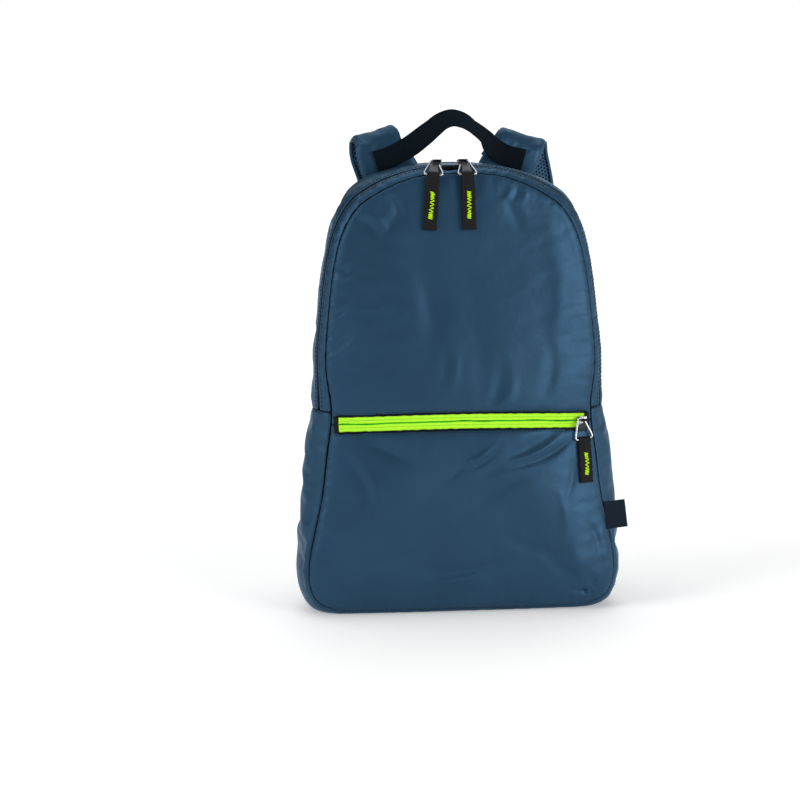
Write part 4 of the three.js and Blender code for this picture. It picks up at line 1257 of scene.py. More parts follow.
def make_strip(name, places, along, setbacks, sunk, held, node):
    """A gusset strip: setbacks are millimetres back from the front seam, in lines.

    held is 1 at sewn points; a strip without it stays as drawn.
    """
    depth = seam_depth(places)
    across = np.array(setbacks) / depth
    place_grid = np.broadcast_to(places, across.shape)
    points = gusset_point(place_grid, across) - gusset_normal(place_grid, across) * sunk[..., None]
    points[..., 2] = np.maximum(points[..., 2], 0.0)
    uv = pairs(np.broadcast_to(along, across.shape), np.array(setbacks))
    faces = grid_faces(*across.shape)
    piece = new_piece(name, points, faces, finish_of("nylon"), uv, False)
    face_towards(piece, BODY_MIDDLE)
    if held is not None:
        settle(piece, held.ravel(), grow=0.025, pressure=1.0, cap=4)
        moved = points_of(piece)
        moved[:, 2] = np.maximum(moved[:, 2], 0.0)
        move_points(piece, moved)
    return finish_sheet(piece, "nylon", node)


MOUTH_DIP = 2.8
JOIN_GAP = 0.008


def make_band():
    places, along = even_places(ZIP_FROM + JOIN_GAP, ZIP_TO - JOIN_GAP, 3.2, 0.1)
    edge = ZIP_SETBACK - mouth_at(places)
    shares = np.array([0.0, 0.07, 0.16, 0.28, 0.42, 0.56, 0.7, 0.82, 0.9, 0.96, 1.0])
    lead = 0.9 + 0.16 * ripple(along, 15, ((9, 1), (14, 1)))
    setbacks = lead + shares[:, None] * (edge - lead)
    to_zip = edge - setbacks
    sunk = beside_seam(setbacks, along + 2, 3) + bell(to_zip, 0.9)
    sunk += MOUTH_DIP * between_sliders(places) * bell(to_zip, 5)
    middle = np.sin(math.pi * shares)[:, None]
    slant = along[None, :] + 5 * shares[:, None]
    sunk += 0.42 * ripple(slant, 8, ((8, 1), (13, 0.9), (5.5, 0.4))) * middle
    make_strip("zip_band_cloth", places, along, setbacks, sunk, None, "zip_band")


CROWN_SAG = 4.2
CROWN_SAG_HALF = 90.0


def make_upper_gusset():
    places, along = even_places(ZIP_FROM + JOIN_GAP, ZIP_TO - JOIN_GAP, 3.6)
    depth = seam_depth(places)
    edge = ZIP_SETBACK + mouth_at(places)
    near = np.array([0, 0.8, 1.8, 3.2, 5.2])[:, None] + edge
    rest = lerp(edge + 8.5, depth - 0.9, np.linspace(0, 1, 18)[:, None])
    setbacks = np.vstack([near, rest])
    to_back = depth - setbacks
    to_zip = setbacks - edge
    sunk = beside_seam(to_back, along, 21) + bell(to_zip, 0.9)
    wave = 0.25 * ripple(along, 9, ((11, 1), (17, 0.8)))
    sunk += wave * np.exp(-to_zip / 8) * (1 - np.exp(-to_zip / 2))
    sunk += 0.5 * MOUTH_DIP * between_sliders(places) * bell(to_zip, 8)
    crown = bell(gusset_point(places, 0.5)[:, 0], CROWN_SAG_HALF, 4)
    across_strip = np.clip(to_zip / (to_zip + to_back), 0, 1)
    sunk += CROWN_SAG * crown * np.sin(math.pi * across_strip) ** 0.8
    held = ((to_back < 2.0) | (to_zip < 3.4)).astype(float)
    held[:, :2] = held[:, -2:] = 1
    make_strip("upper_gusset_cloth", places, along, setbacks, sunk, held, "upper_gusset")


def make_lower_gusset():
    places, along = even_places(-JOIN_ROW + JOIN_GAP, JOIN_ROW - JOIN_GAP, CLOTH_STEP)
    depth = seam_depth(places)
    lead = 0.9 + 0.16 * ripple(along, 16, ((9, 1), (14, 1)))
    setbacks = lead + np.linspace(0, 1, 31)[:, None] * (depth - 1.9 - lead)
    gap = np.minimum(setbacks, depth - setbacks)
    to_end = np.minimum(along, along[-1] - along) + np.zeros_like(setbacks)
    sunk = beside_seam(gap, along, 31) + 0.9 * bell(to_end, 1.6)
    wave = 0.5 * ripple(setbacks, 33, ((15, 1), (24, 0.8)))
    sunk += wave * np.exp(-to_end / 10) * (1 - bell(to_end, 3))
    points = gusset_point(np.broadcast_to(places, setbacks.shape), setbacks / depth)
    on_floor = points[..., 2] < 2.5
    held = ((gap < 2.2) | (to_end < 2) | on_floor).astype(float)
    make_strip("lower_gusset_cloth", places, along, setbacks, sunk, held, "lower_gusset")


def make_back():
    places = np.linspace(0, ROW_COUNT, 1200)
    outline = even_line(inset_rim(BACK_CURVE, places, 1.0), CLOTH_STEP)[:-1]
    flat, faces, _ = fill_outline(outline, BACK_STEP)
    gap, along = rim_gap(BACK_EDGE, flat)
    y = back_y(flat[:, 0], flat[:, 1]) - beside_seam(gap, along, 21, 1.2)
    points = xyz(flat[:, 0], y, flat[:, 1])
    piece = new_piece("back_cloth", points, faces, finish_of("nylon"), flat, False)
    face_towards(piece, BEFORE_BACK)
    settle(piece, (gap < 1.2).astype(float), grow=0.008, pressure=0.6, cap=3)
    finish_sheet(piece, "nylon", "back_panel")


def make_seam_tapes():
    """The bound seam allowance that closes each seam's groove from inside, coloured near-black as
    painted shade at the bottom of the groove.
    """
    places = np.linspace(0, ROW_COUNT, 420, endpoint=False)
    for name, curve, height, outwards, far in (
        ("front_seam_tape", FRONT_CURVE, front_y, -1, 0),
        ("back_seam_tape", BACK_CURVE, back_y, 1, 1),
    ):
        depth = seam_depth(places)
        rows = []
        for inset, sunk in ((4.0, 2.0), (2.2, 2.3)):
            flat = inset_rim(curve, places, inset)
            normal = sheet_normal(height, flat[:, 0], flat[:, 1], outwards)
            point = xyz(flat[:, 0], height(flat[:, 0], flat[:, 1]), flat[:, 1])
            rows.append(point - normal * sunk)
        for setback, sunk in ((0.0, 2.6), (2.2, 2.3), (4.0, 2.0)):
            across = np.abs(far - setback / depth)
            rows.append(gusset_point(places, across) - gusset_normal(places, across) * sunk)
        rows[2] += np.array([0, -outwards * 1.6, 0])
        points = np.stack(rows, axis=1)
        points[..., 2] = np.maximum(points[..., 2], 0.6)
        faces = grid_faces(len(places), len(rows), wrap=True)
        # Painted shade: the near-black tape shows as the groove's dark line.
        piece = new_piece(name, points, faces, finish_of("dark_thread"), None, False)
        face_towards(piece, BODY_MIDDLE)
        thicken(piece, 0.4)
        finish_piece(piece, "navy_webbing")


# Stitches and threads


def capsules(starts, ends, normals, radius, sides=5):
    """Points and faces of short rounded stitches from starts to ends, lying on a surface."""
    starts, ends, normals = (np.asarray(a, float) for a in (starts, ends, normals))
    run = ends - starts
    across = unit(np.cross(run, normals))
    up = unit(np.cross(across, run))
    turns = 2 * math.pi * np.arange(sides) / sides
    rings = ((0.0, 0.35), (0.14, 0.95), (0.5, 1.1), (0.86, 0.95), (1.0, 0.35))
    points = []
    for share, size in rings:
        middle = starts + run * share + up * (math.sin(math.pi * share) * radius * 0.6)
        for turn in turns:
            offset = across * math.cos(turn) + up * math.sin(turn)
            points.append(middle + offset * (radius * size))
    points = np.stack(points, axis=1)
    one = tube_faces(len(rings), sides)
    count = len(rings) * sides
    faces = [tuple(i * count + k for k in face) for i in range(len(starts)) for face in one]
    return points.reshape(-1, 3), faces


def stitch_line(points, normals, length=2.9, gap=1.0, radius=0.26):
    """Stitches along a line, as points and faces."""
    run = arc_lengths(points)
    starts = np.arange(gap, run[-1] - length, length + gap)
    if len(starts) == 0:
        return np.zeros((0, 3)), []

    from_points, to_points = (read_rows(at, run, points) for at in (starts, starts + length))
    return capsules(from_points, to_points, read_rows(starts, run, normals), radius)


def gather(parts):
    """Joins (points, faces) pairs into one pair."""
    points, faces, offset = [], [], 0
    for part_points, part_faces in parts:
        points.append(part_points)
        faces.extend(tuple(i + offset for i in face) for face in part_faces)
        offset += len(part_points)
    return np.vstack(points), faces


STITCH_LIFT = 0.05
LOOK_FROM = 0.015


def laid_on(name, points, normals):
    """The points moved along their normals onto the outside of a finished piece."""
    mesh = bmesh.new()
    mesh.from_mesh(bpy.data.objects[name].data)
    tree = BVHTree.FromBMesh(mesh)
    mesh.free()
    found = []
    for point, normal in zip(points, normals):
        start = Vector(point * MM) + Vector(normal) * LOOK_FROM
        hit = tree.ray_cast(start, -Vector(normal), 2 * LOOK_FROM)[0]
        if hit is None:
            hit = Vector(point * MM)
        found.append(np.array(hit) / MM + normal * STITCH_LIFT)
    return np.array(found)


def stitch_zip_edges():
    parts = []
    places, _ = even_places(ZIP_FROM + 0.03, ZIP_TO - 0.03, 2.0, 0.13)
    for name, offset in (("zip_band_cloth", -3.6), ("upper_gusset_cloth", 2.3)):
        setback = ZIP_SETBACK + offset + math.copysign(1, offset) * mouth_at(places)
        across = setback / seam_depth(places)
        points, normals = gusset_point(places, across), gusset_normal(places, across)
        parts.append(stitch_line(laid_on(name, points, normals), normals))
    piece = new_piece("zip_edge_stitches", *gather(parts), finish_of("thread"))
    finish_piece(piece, "nylon")


def stitch_pocket_edges():
    parts = []
    x = np.arange(-WINDOW_HALF, WINDOW_HALF, 2.0)
    for name, side in (("front_cloth", 1), ("pocket_cloth", -1)):
        z = zip_level(x) + side * (TAPE_SHOWN / 2 + SHADE_STRIP_SHOWN + 2.2)
        points = xyz(x, front_y(x, z), z)
        normals = sheet_normal(front_y, x, z, -1)
        parts.append(stitch_line(laid_on(name, points, normals), normals))
    piece = new_piece("pocket_edge_stitches", *gather(parts), finish_of("thread"))
    finish_piece(piece, "nylon")


# Zips


def make_teeth(places, setbacks, half_width):
    """Coil teeth across a zip line: each a flattened loop from side to side."""
    across = setbacks / seam_depth(places)
    centre = gusset_point(places, across) - gusset_normal(places, across) * (CLOTH_WALL + 0.7)
    normal = gusset_normal(places, across)
    front = gusset_point(places, across - 0.01)
    side = unit(gusset_point(places, across + 0.01) - front)
    starts = centre - side * half_width
    ends = centre + side * half_width
    return capsules(starts, ends, normal, 0.52)


TOOTH_PITCH = 1.35


def make_main_zip():
    for label, start, end in (
        ("right", ZIP_FROM + 0.05, RIGHT_SLIDER),
        ("left", LEFT_SLIDER, ZIP_TO - 0.05),
    ):
        places, _ = even_places(start, end, TOOTH_PITCH, 0.13)
        teeth = make_teeth(places, ZIP_SETBACK, COIL_WIDTH / 2)
        offsets = np.array([-7.0, -3.0, 0.0, 3.0, 7.0])[:, None]
        across = (ZIP_SETBACK + offsets) / seam_depth(places)
        grid_places = np.broadcast_to(places, across.shape)
        normal = gusset_normal(grid_places, across)
        tape = gusset_point(grid_places, across) - normal * (CLOTH_WALL + 1.5)
        back = tape - normal * 0.5
        count = len(places)
        shell = np.concatenate([tape, back[::-1]], axis=0)
        faces = grid_faces(len(shell), count, wrap=True)
        points, faces = gather([teeth, (shell.reshape(-1, 3), faces)])
        piece = new_piece(f"main_zip_teeth_{label}", points, faces, finish_of("coil"))
        finish_piece(piece, "dark_coil", f"main_zip_coil_{label}")
    places, _ = even_places(RIGHT_SLIDER + 0.02, LEFT_SLIDER - 0.02, TOOTH_PITCH, 0.13)
    parts = []
    for side in (-1, 1):
        setback = ZIP_SETBACK + side * (mouth_at(places) - 0.3)
        parts.append(make_teeth(places, setback, 1.3))
    piece = new_piece("open_zip_teeth", *gather(parts), finish_of("coil"))
    finish_piece(piece, "dark_coil")


TAPE_SUNK = CLOTH_WALL + 0.3


def lay_sheet(name, points, uv, finish, wall, slot, *nodes):
    """A thin sheet in the front's window, from a grid of points."""
    piece = new_piece(name, points, grid_faces(*points.shape[:2]), finish_of(finish), uv, False)
    face_towards(piece, BEHIND_TAPE)
    thicken(piece, wall)
    finish_piece(piece, slot, *nodes)


def make_pocket_tape():
    x = np.linspace(-TAPE_HALF, TAPE_HALF, 210)
    for name, side in (("upper", 1), ("lower", -1)):
        up = np.array([0.25, 0.6, 1.1, 1.8, 2.6, 3.1, 3.6, 4.6, 6.0, 7.5, 9.5])
        grid_x, grid_z = np.meshgrid(x, side * up)
        grid_z = grid_z + zip_level(grid_x)
        ridge = 0.75 * bell(up - 1.7, 1.25, 4)[:, None]
        flutter = 0.12 * ripple(x, 5 + side, ((6, 1), (10, 1)))[None, :]
        hidden = 0.7 * np.maximum(0, up - TAPE_SHOWN / 2)[:, None]
        y = front_y(grid_x, grid_z) + TAPE_SUNK - ridge + flutter + hidden
        points = xyz(grid_x, y, grid_z)
        uv = pairs(grid_x, grid_z)
        node = f"pocket_tape_{name}"
        lay_sheet(f"{node}_web", points, uv, "tape", 0.7, "green_tape", node)
    wave = np.arange(-TAPE_HALF + 1, TAPE_HALF - 1, 0.5)
    z = zip_level(wave) + 0.1 * np.sin(wave * 2 * math.pi / 5)
    z += 0.4 * ripple(wave, 12, ((37, 1), (61, 1)))
    centre = xyz(wave, front_y(wave, z) + TAPE_SUNK - 0.5, z)
    piece = tube("pocket_zip_centre", centre, 0.62, finish_of("tape_line"), 6)
    finish_piece(piece, "green_tape")
    parts = []
    for side in (-1, 1):
        z = zip_level(wave) + side * 3.4
        line = xyz(wave, front_y(wave, z) + TAPE_SUNK - 0.25, z)
        parts.append(stitch_line(line, sheet_normal(front_y, wave, z, -1), 1.9, 0.7, 0.22))
    piece = new_piece("pocket_tape_stitches", *gather(parts), finish_of("tape_thread"))
    finish_piece(piece, "green_tape")


def make_pocket_shade_strips():
    """Near-black strips that frame the green tape: painted shade along the tape's edges, under the
    cloth's edges.
    """
    x = np.linspace(-TAPE_HALF - 1, TAPE_HALF + 1, 160)
    for name, side in (("upper", 1), ("lower", -1)):
        z = side * (TAPE_SHOWN / 2 + np.array([-0.3, 0.4, 1.2, 2.0]))
        grid_x, grid_z = np.meshgrid(x, z)
        grid_z = grid_z + zip_level(grid_x) + 0.12 * ripple(grid_x, 17 + side, ((9, 1), (14, 1)))
        points = xyz(grid_x, front_y(grid_x, grid_z) + TAPE_SUNK - 0.75, grid_z)
        lay_sheet(f"pocket_shade_strip_{name}", points, None, "dark_thread", 0.3, "navy_webbing")


def make_pocket_ends():
    for label, side in (("right", 1), ("left", -1)):
        start = side * (TAPE_HALF + FIT_GAP)
        x = np.linspace(start - side * 0.2, start + side * (END_TAB + 0.6), 9)
        grid_x, grid_z = np.meshgrid(x, np.linspace(-7.4, 7.4, 19))
        grid_z = grid_z + zip_level(grid_x)
        crown = 0.8 * (1 - ((np.linspace(-1, 1, 9)) ** 2))[None, :]
        y = front_y(grid_x, grid_z) + TAPE_SUNK - 0.2 - crown
        points = xyz(grid_x, y, grid_z)
        uv = pairs(grid_z, grid_x)
        name, node = f"pocket_end_{label}_tab", f"pocket_zip_end_{label}"
        lay_sheet(name, points, uv, "black_web", 0.8, "black_webbing", node)


def path_frames(path, closed=False, guide=(0, 0, 1)):
    """Tangents and two steady side directions along a path."""
    if closed:
        run = unit(np.roll(path, -1, axis=0) - np.roll(path, 1, axis=0))
    else:
        run = unit(np.gradient(path, axis=0))
    side = np.cross(run[0], guide)
    if np.linalg.norm(side) < 1e-3:
        side = np.cross(run[0], (1, 0, 0))
    sides = []
    side = side / np.linalg.norm(side)
    for tangent in run:
        side = side - tangent * np.dot(side, tangent)
        side = side / np.linalg.norm(side)
        sides.append(side)
    sides = np.array(sides)
    return run, sides, np.cross(run, sides)


def tube(name, path, radius, material, sides=8, closed=False, guide=(0, 0, 1)):
    """A round wire or thread along a path."""
    path = np.asarray(path, float)
    _, first, second = path_frames(path, closed, guide)
    turns = 2 * math.pi * np.arange(sides) / sides
    ring = [first * math.cos(t) + second * math.sin(t) for t in turns]
    points = path[:, None, :] + np.stack(ring, axis=1) * radius
    faces = tube_faces(len(path), sides, wrap=closed)
    return new_piece(name, points, faces, material)


def basis_of(origin, x_axis, y_axis):
    """Axes as columns and an origin, from an x direction and a rough y direction."""
    x = unit(np.asarray(x_axis, float))
    y = np.asarray(y_axis, float)
    y = unit(y - x * np.dot(x, y))
    return np.stack([x, y, np.cross(x, y)], axis=1), np.asarray(origin, float)


def placed(points, basis):
    axes, origin = basis
    return np.asarray(points, float) @ axes.T + origin


def put_in_place(piece, basis):
    """Moves a mesh modelled about its own origin, in millimetres times MM, into the object."""
    axes, origin = basis
    turn = Matrix(axes.tolist()).to_4x4()
    piece.data.transform(Matrix.Translation(Vector(origin) * MM) @ turn)
    piece.data.update()


def section_spots(width, thickness, ribs, relief):
    """A webbing's cross-section: flat ribbed faces and rounded edges, as (across, up) pairs."""
    half_w, half_t = width / 2, thickness / 2
    count = max(2, ribs * 4)
    w = np.linspace(-(half_w - half_t), half_w - half_t, count + 1)
    bump = relief * (1 - np.abs(np.sin(np.arange(count + 1) * math.pi / 4)))
    top = pairs(w, half_t - bump)
    turns = np.radians([60, 20, -20, -60])
    right = pairs(half_w - half_t + half_t * np.cos(turns), half_t * np.sin(turns))
    bottom = pairs(w[::-1], -(half_t - bump[::-1]))
    left = pairs(-right[::-1, 0], right[::-1, 1])
    return np.vstack([top, right, bottom, left])


def ribbon(name, path, axes, width, thickness, material, ribs=0, relief=0.0):
    """Webbing along a path. axes are the width directions, width may vary along the path."""
    path = np.asarray(path, float)
    run = unit(np.gradient(path, axis=0))
    axes = np.broadcast_to(np.asarray(axes, float), path.shape)
    axes = unit(axes - run * np.sum(axes * run, axis=1, keepdims=True))
    up = np.cross(run, axes)
    spots = section_spots(width, thickness, ribs, relief)
    points = (
        path[:, None, :]
        + axes[:, None, :] * spots[None, :, :1]
        + up[:, None, :] * spots[None, :, 1:]
    )
    length = arc_lengths(path)
    uv = pairs(length[:, None], spots[None, :, 0])
    faces = tube_faces(len(path), len(spots))
    return new_piece(name, points, faces, material, uv)


# Handle


def between_rows(rows, share, column):
    rows = np.asarray(rows, float)
    return np.interp(np.asarray(share) * (len(rows) - 1), np.arange(len(rows)), rows[:, column])


def make_handle():
    root = STRAP[1]
    root_face = back_plane(root[1] * BODY_HEIGHT) + root[2] * STRAP_STANDOFF
    patch_y = root_face - STRAP_THICKNESS / 2 - 2 * FIT_GAP - HANDLE_THICKNESS / 2
    crown = SEAMS[-1][3] * BODY_HEIGHT
    rows = np.asarray(HANDLE, float)
    forward = np.sin(np.radians(rows[:, 2])) * HANDLE_WIDTH / 2
    centres = xyz(rows[:, 0] * HANDLE_REACH, patch_y - forward, crown + rows[:, 1] * HANDLE_RISE)
    curve = Curve(centres)
    share = np.linspace(0, 1, 220)
    path, run = curve.at(share), curve.tangent(share)
    flat = unit(xyz(-run[:, 2], np.zeros(len(run)), run[:, 0]))
    flat *= np.where(flat[:, 2:] < 0, -1, 1)
    tilt = np.radians(between_rows(HANDLE, share, 2))[:, None]
    axes = flat * np.cos(tilt) + np.array([0, 1, 0]) * np.sin(tilt)
    piece = ribbon(
        "grab_handle_webbing", path, axes, HANDLE_WIDTH, 1.7, finish_of("handle"), 13, 0.16
    )
    finish_piece(piece, "navy_webbing", "grab_handle")
    run_axes = unit(axes - run * np.sum(axes * run, axis=1, keepdims=True))
    face = np.cross(run, run_axes)
    face *= np.where(face[:, 1:2] > 0, -1, 1)
    parts = []
    for start, end in ((0.012, 0.135), (0.865, 0.988)):
        inner, outer = -0.40, 0.40
        corners = [(start, inner), (end, inner), (end, outer), (start, outer), (start, inner)]
        for (s0, w0), (s1, w1) in zip(corners[:-1], corners[1:]):
            at = np.linspace(s0, s1, 24)
            over = np.linspace(w0, w1, 24) * HANDLE_WIDTH
            normal, middle, aside = (read_rows(at, share, v) for v in (face, path, run_axes))
            line = middle + aside * over[:, None] + normal * 0.8
            parts.append(stitch_line(line, normal, 2.4, 0.8, 0.2))
    piece = new_piece("handle_box_stitches", *gather(parts), finish_of("dark_thread"))
    finish_piece(piece, "navy_webbing")


# Shoulder straps

LEFT_FOLD_LIFT = 3.8
FOLD_SPREAD = 0.07
FOLD_AT, FOLD_LONG, FOLD_FLAT = 0.25, 0.3, 0.45
STRAP_PUCKERS = ((13, 1), (21, 0.8), (9, 0.5))


def strap_curve(side):
    rows = np.asarray(STRAP, float)
    z = rows[:, 1] * BODY_HEIGHT
    y = back_plane(z) + rows[:, 2] * STRAP_STANDOFF
    if side < 0:
        z[3:7] += LEFT_FOLD_LIFT
    x = side * rows[:, 0] * BASE_HALF_WIDTH + rows[:, 3] * STRAP_SWAY
    return Curve(xyz(x, y, z))


def strap_frames(curve, side, share):
    run = curve.tangent(share)
    lean = np.radians(between_rows(STRAP, share, 5)) * side
    across = xyz(np.cos(lean), np.zeros_like(lean), -np.sin(lean))
    across = unit(across - run * np.sum(across * run, axis=1, keepdims=True))
    return curve.at(share), run, across, unit(np.cross(across, run))


def even_shares(curve, start, end, step):
    dense = np.linspace(start, end, 1200)
    length = arc_lengths(curve.at(dense))
    at = np.linspace(0, length[-1], int(round(length[-1] / step)) + 1)
    return np.interp(at, length, dense), at


def strap_layer(frames, half_width, spots, rise):
    """Points at shares of the half width across the strap, raised along its outer side."""
    centre, _, across, out = frames
    wide = half_width[:, None] * spots
    points = centre[:, None, :] + across[:, None, :] * wide[..., None]
    return points + out[:, None, :] * rise[..., None]


def half_width_at(side, share):
    """Half the strap's width: the left fold is drawn in and the right one spread."""
    fold = bell(np.asarray(share) - 0.36, 0.2, 4)
    return between_rows(STRAP, share, 4) * STRAP_BROAD / 2 * (1 + side * FOLD_SPREAD * fold)


def pad_under(share):
    """Level of the pad's underside: the pad is pressed flatter up to where it folds over."""
    fold = bell(np.asarray(share) - FOLD_AT, FOLD_LONG, 4)
    return STRAP_THICKNESS * (FOLD_FLAT * fold - 0.5)


def make_pad(side, label, curve, share, along):
    frames = strap_frames(curve, side, share)
    half_width = half_width_at(side, share)
    half = STRAP_THICKNESS / 2
    under = pad_under(share)[:, None]
    top = np.linspace(-1, 1, 19)
    bottom = np.linspace(1, -1, 19)[1:-1]
    spots = np.concatenate([top, bottom])
    crown = np.maximum(0, 1 - np.abs(top) ** 8) ** 0.5
    rise_top = lerp(under + (half - under) * 0.33, half, crown)
    rise_bottom = under + np.zeros(len(bottom))
    rise = np.concatenate([rise_top, rise_bottom], axis=1)
    pucker = ripple(along, 41 if side > 0 else 43, STRAP_PUCKERS)[:, None]
    edge = np.exp(-((1 - np.abs(top)) * 9)) * (1 - np.exp(-((1 - np.abs(top)) * 14)))
    rise[:, : len(top)] -= 0.9 * pucker * edge[None, :]
    points = strap_layer(frames, half_width, np.broadcast_to(spots, rise.shape), rise)
    uv = pairs(along[:, None], spots[None, :] * half_width[:, None])
    faces = tube_faces(len(share), len(spots))
    piece = new_piece(f"strap_pad_{label}", points, faces, finish_of("nylon"), uv)
    held = np.zeros(rise.shape)
    held[:, len(top) :] = 1
    held[:, [0, 1, len(top) - 2, len(top) - 1]] = 1
    held[share < 0.2] = held[-2:] = 1
    settle(piece, held.ravel(), grow=0.02, pressure=1.0, cap=1.4, bending=1.0)
    smooth_once(piece)
    finish_piece(piece, "nylon", f"strap_{label}")


def make_net(side, label, curve, share, along):
    """Air mesh: a foam-dark backing with a knitted net of round holes standing on it."""
    under = pad_under(share)[:, None]
    frames = strap_frames(curve, side, share)
    half_width = half_width_at(side, share) - 1.0
    spots = np.linspace(-1, 1, 13)
    shape = (len(share), len(spots))
    spots = np.broadcast_to(spots, shape)
    sag = 0.5 * (1 - np.abs(spots) ** 3)
    upper = strap_layer(frames, half_width, spots, np.zeros(shape) + under - FIT_GAP)
    lower = strap_layer(frames, half_width, spots, under - FIT_GAP - 1.0 - sag)
    shell = np.concatenate([upper, lower[:, ::-1]], axis=1)
    faces = tube_faces(len(share), shell.shape[1])
    backing = new_piece(f"strap_foam_{label}", shell, faces, finish_of("foam"))
    finish_piece(backing, "air_mesh", f"strap_mesh_{label}")
    cell = 3.4
    row_step = cell * math.sqrt(3) / 2
    length = along[-1]
    centres = []
    for k, v in enumerate(np.arange(-STRAP_BROAD / 2, STRAP_BROAD / 2 + row_step, row_step)):
        shift = cell / 2 if k % 2 else 0
        u = np.arange(2.0 + shift, length - 2.0, cell)
        centres.append(pairs(u, np.full_like(u, v)))
    centres = np.vstack(centres)
    limit = np.interp(centres[:, 0], along, half_width) - 1.6
    centres = centres[np.abs(centres[:, 1]) < limit]
    turns = np.radians(np.arange(6) * 60 + 30)
    outer = pairs(np.cos(turns), np.sin(turns)) * (cell / math.sqrt(3))
    inner = pairs(np.cos(turns), np.sin(turns)) * (cell * 0.33)
    flat = centres[:, None, :] + np.concatenate([outer, inner])[None]
    one = [(k, (k + 1) % 6, 6 + (k + 1) % 6, 6 + k) for k in range(6)]
    faces = [tuple(12 * i + k for k in face) for i in range(len(centres)) for face in one]
    u, v = flat[..., 0].ravel(), flat[..., 1].ravel()
    at_share = np.interp(u, along, share)
    width_here = np.interp(u, along, half_width)
    centre, _, across, out = strap_frames(curve, side, at_share)
    rounded = np.tile(np.array([0.0] * 6 + [0.28] * 6), len(centres))
    rise = pad_under(at_share) - FIT_GAP - 1.45 - 0.5 * (1 - np.abs(v / width_here) ** 3) + rounded
    points = centre + across * v[:, None] + out * rise[:, None]
    piece = new_piece(f"strap_net_{label}", points, faces, finish_of("net"), None, False)

    def weld(mesh):
        bmesh.ops.remove_doubles(mesh, verts=mesh.verts, dist=0.05 * MM)
        bmesh.ops.recalc_face_normals(mesh, faces=mesh.faces)

    rework(piece, weld)
    middle = points.mean(axis=0)
    towards = middle + strap_frames(curve, side, np.array([0.75]))[3][0] * 40
    face_towards(piece, towards)
    thicken(piece, 0.45)
    finish_piece(piece, "air_mesh")


def make_bindings(side, label, curve, share, along):
    """Folded nylon edging over the pad's and the net's edges."""
    frames = strap_frames(curve, side, share)
    half_width = half_width_at(side, share)
    raised = (pad_under(share) + STRAP_THICKNESS / 2)[:, None]
    half = STRAP_THICKNESS / 2
    top_edge = -0.1 * half
    low = -half - FIT_GAP - MESH_THICKNESS + 0.2
    profile = np.array(
        [
            (-2.6, top_edge + 0.9),
            (-1.4, top_edge + 0.1),
            (-0.2, top_edge - 1.2),
            (0.3, (top_edge + low) / 2),
            (-0.1, low + 0.4),
            (-1.2, low - 0.1),
            (-2.9, low - 0.25),
        ]
    )
    profile = even_line(profile, 0.9)
    sideways = (profile[:, 1] - low) / (top_edge - low)
    for edge in (-1, 1):
        flutter = 0.18 * ripple(along, 50 + edge + side, ((8, 1), (13, 1)))
        over = edge * (half_width[:, None] + profile[None, :, 0])
        rise = profile[None, :, 1] + flutter[:, None] + raised * (1 - sideways)[None, :]
        centre, _, across, out = frames
        points = centre[:, None] + across[:, None] * over[..., None]
        points = points + out[:, None] * rise[..., None]
        uv = pairs(along[:, None], arc_lengths(profile))
        faces = grid_faces(*rise.shape)
        side_word = "outer" if edge == side else "inner"
        name = f"strap_edging_{label}_{side_word}"
        piece = new_piece(name, points, faces, finish_of("nylon"), uv, False)
        thicken(piece, 0.5, 0.0)
        finish_piece(piece, "nylon")
        stitch_over = edge * (half_width - 4.6)
        parts = []
        for rise_at, sign in ((top_edge + 1.85, 1), (low - 0.55, -1)):
            line = centre + across * stitch_over[:, None] + out * rise_at
            parts.append(stitch_line(line, out * sign, 2.8, 1.0, 0.24))
        piece = new_piece(f"{name}_stitches", *gather(parts), finish_of("thread"))
        finish_piece(piece, "nylon")


def make_straps():
    for side, label in ((1, "right"), (-1, "left")):
        curve = strap_curve(side)
        share, along = even_shares(curve, 0, 1, 3.2)
        make_pad(side, label, curve, share, along)
        net_from = 1 / (len(STRAP) - 1)
        net_share, net_along = even_shares(curve, net_from, 1, 3.2)
        make_net(side, label, curve, net_share, net_along)
        make_bindings(side, label, curve, net_share, net_along)


# Sliders, rings and pulls, modelled about their own origins


def start_block(size, centre):
    """A box added at its size and place, in edit mode with everything selected."""
    pick_none()
    bpy.ops.mesh.primitive_cube_add(size=1, location=(0, 0, 0))
    block = bpy.context.object
    block.data.transform(
        Matrix.Translation(Vector(centre) * MM) @ Matrix.Diagonal(Vector(size) * MM).to_4x4()
    )
    return block


def edit(piece, work):
    """Runs work(bm) on the selected faces and edges with piece in edit mode."""
    pick_only(piece)
    bpy.ops.object.mode_set(mode="EDIT")
    work(bmesh.from_edit_mesh(piece.data))
    bmesh.update_edit_mesh(piece.data)
    bpy.ops.object.mode_set(mode="OBJECT")


def bevel_all(piece, width, segments=2):
    def work(_):
        bpy.ops.mesh.select_all(action="SELECT")
        bpy.ops.mesh.bevel(offset=width * MM, segments=segments, affect="EDGES")

    edit(piece, work)


def taper(piece, test, scale):
    def work(mesh):
        for vert in mesh.verts:
            if test(vert.co / MM):
                vert.co.x *= scale[0]
                vert.co.y *= scale[1]
                vert.co.z *= scale[2]

    edit(piece, work)


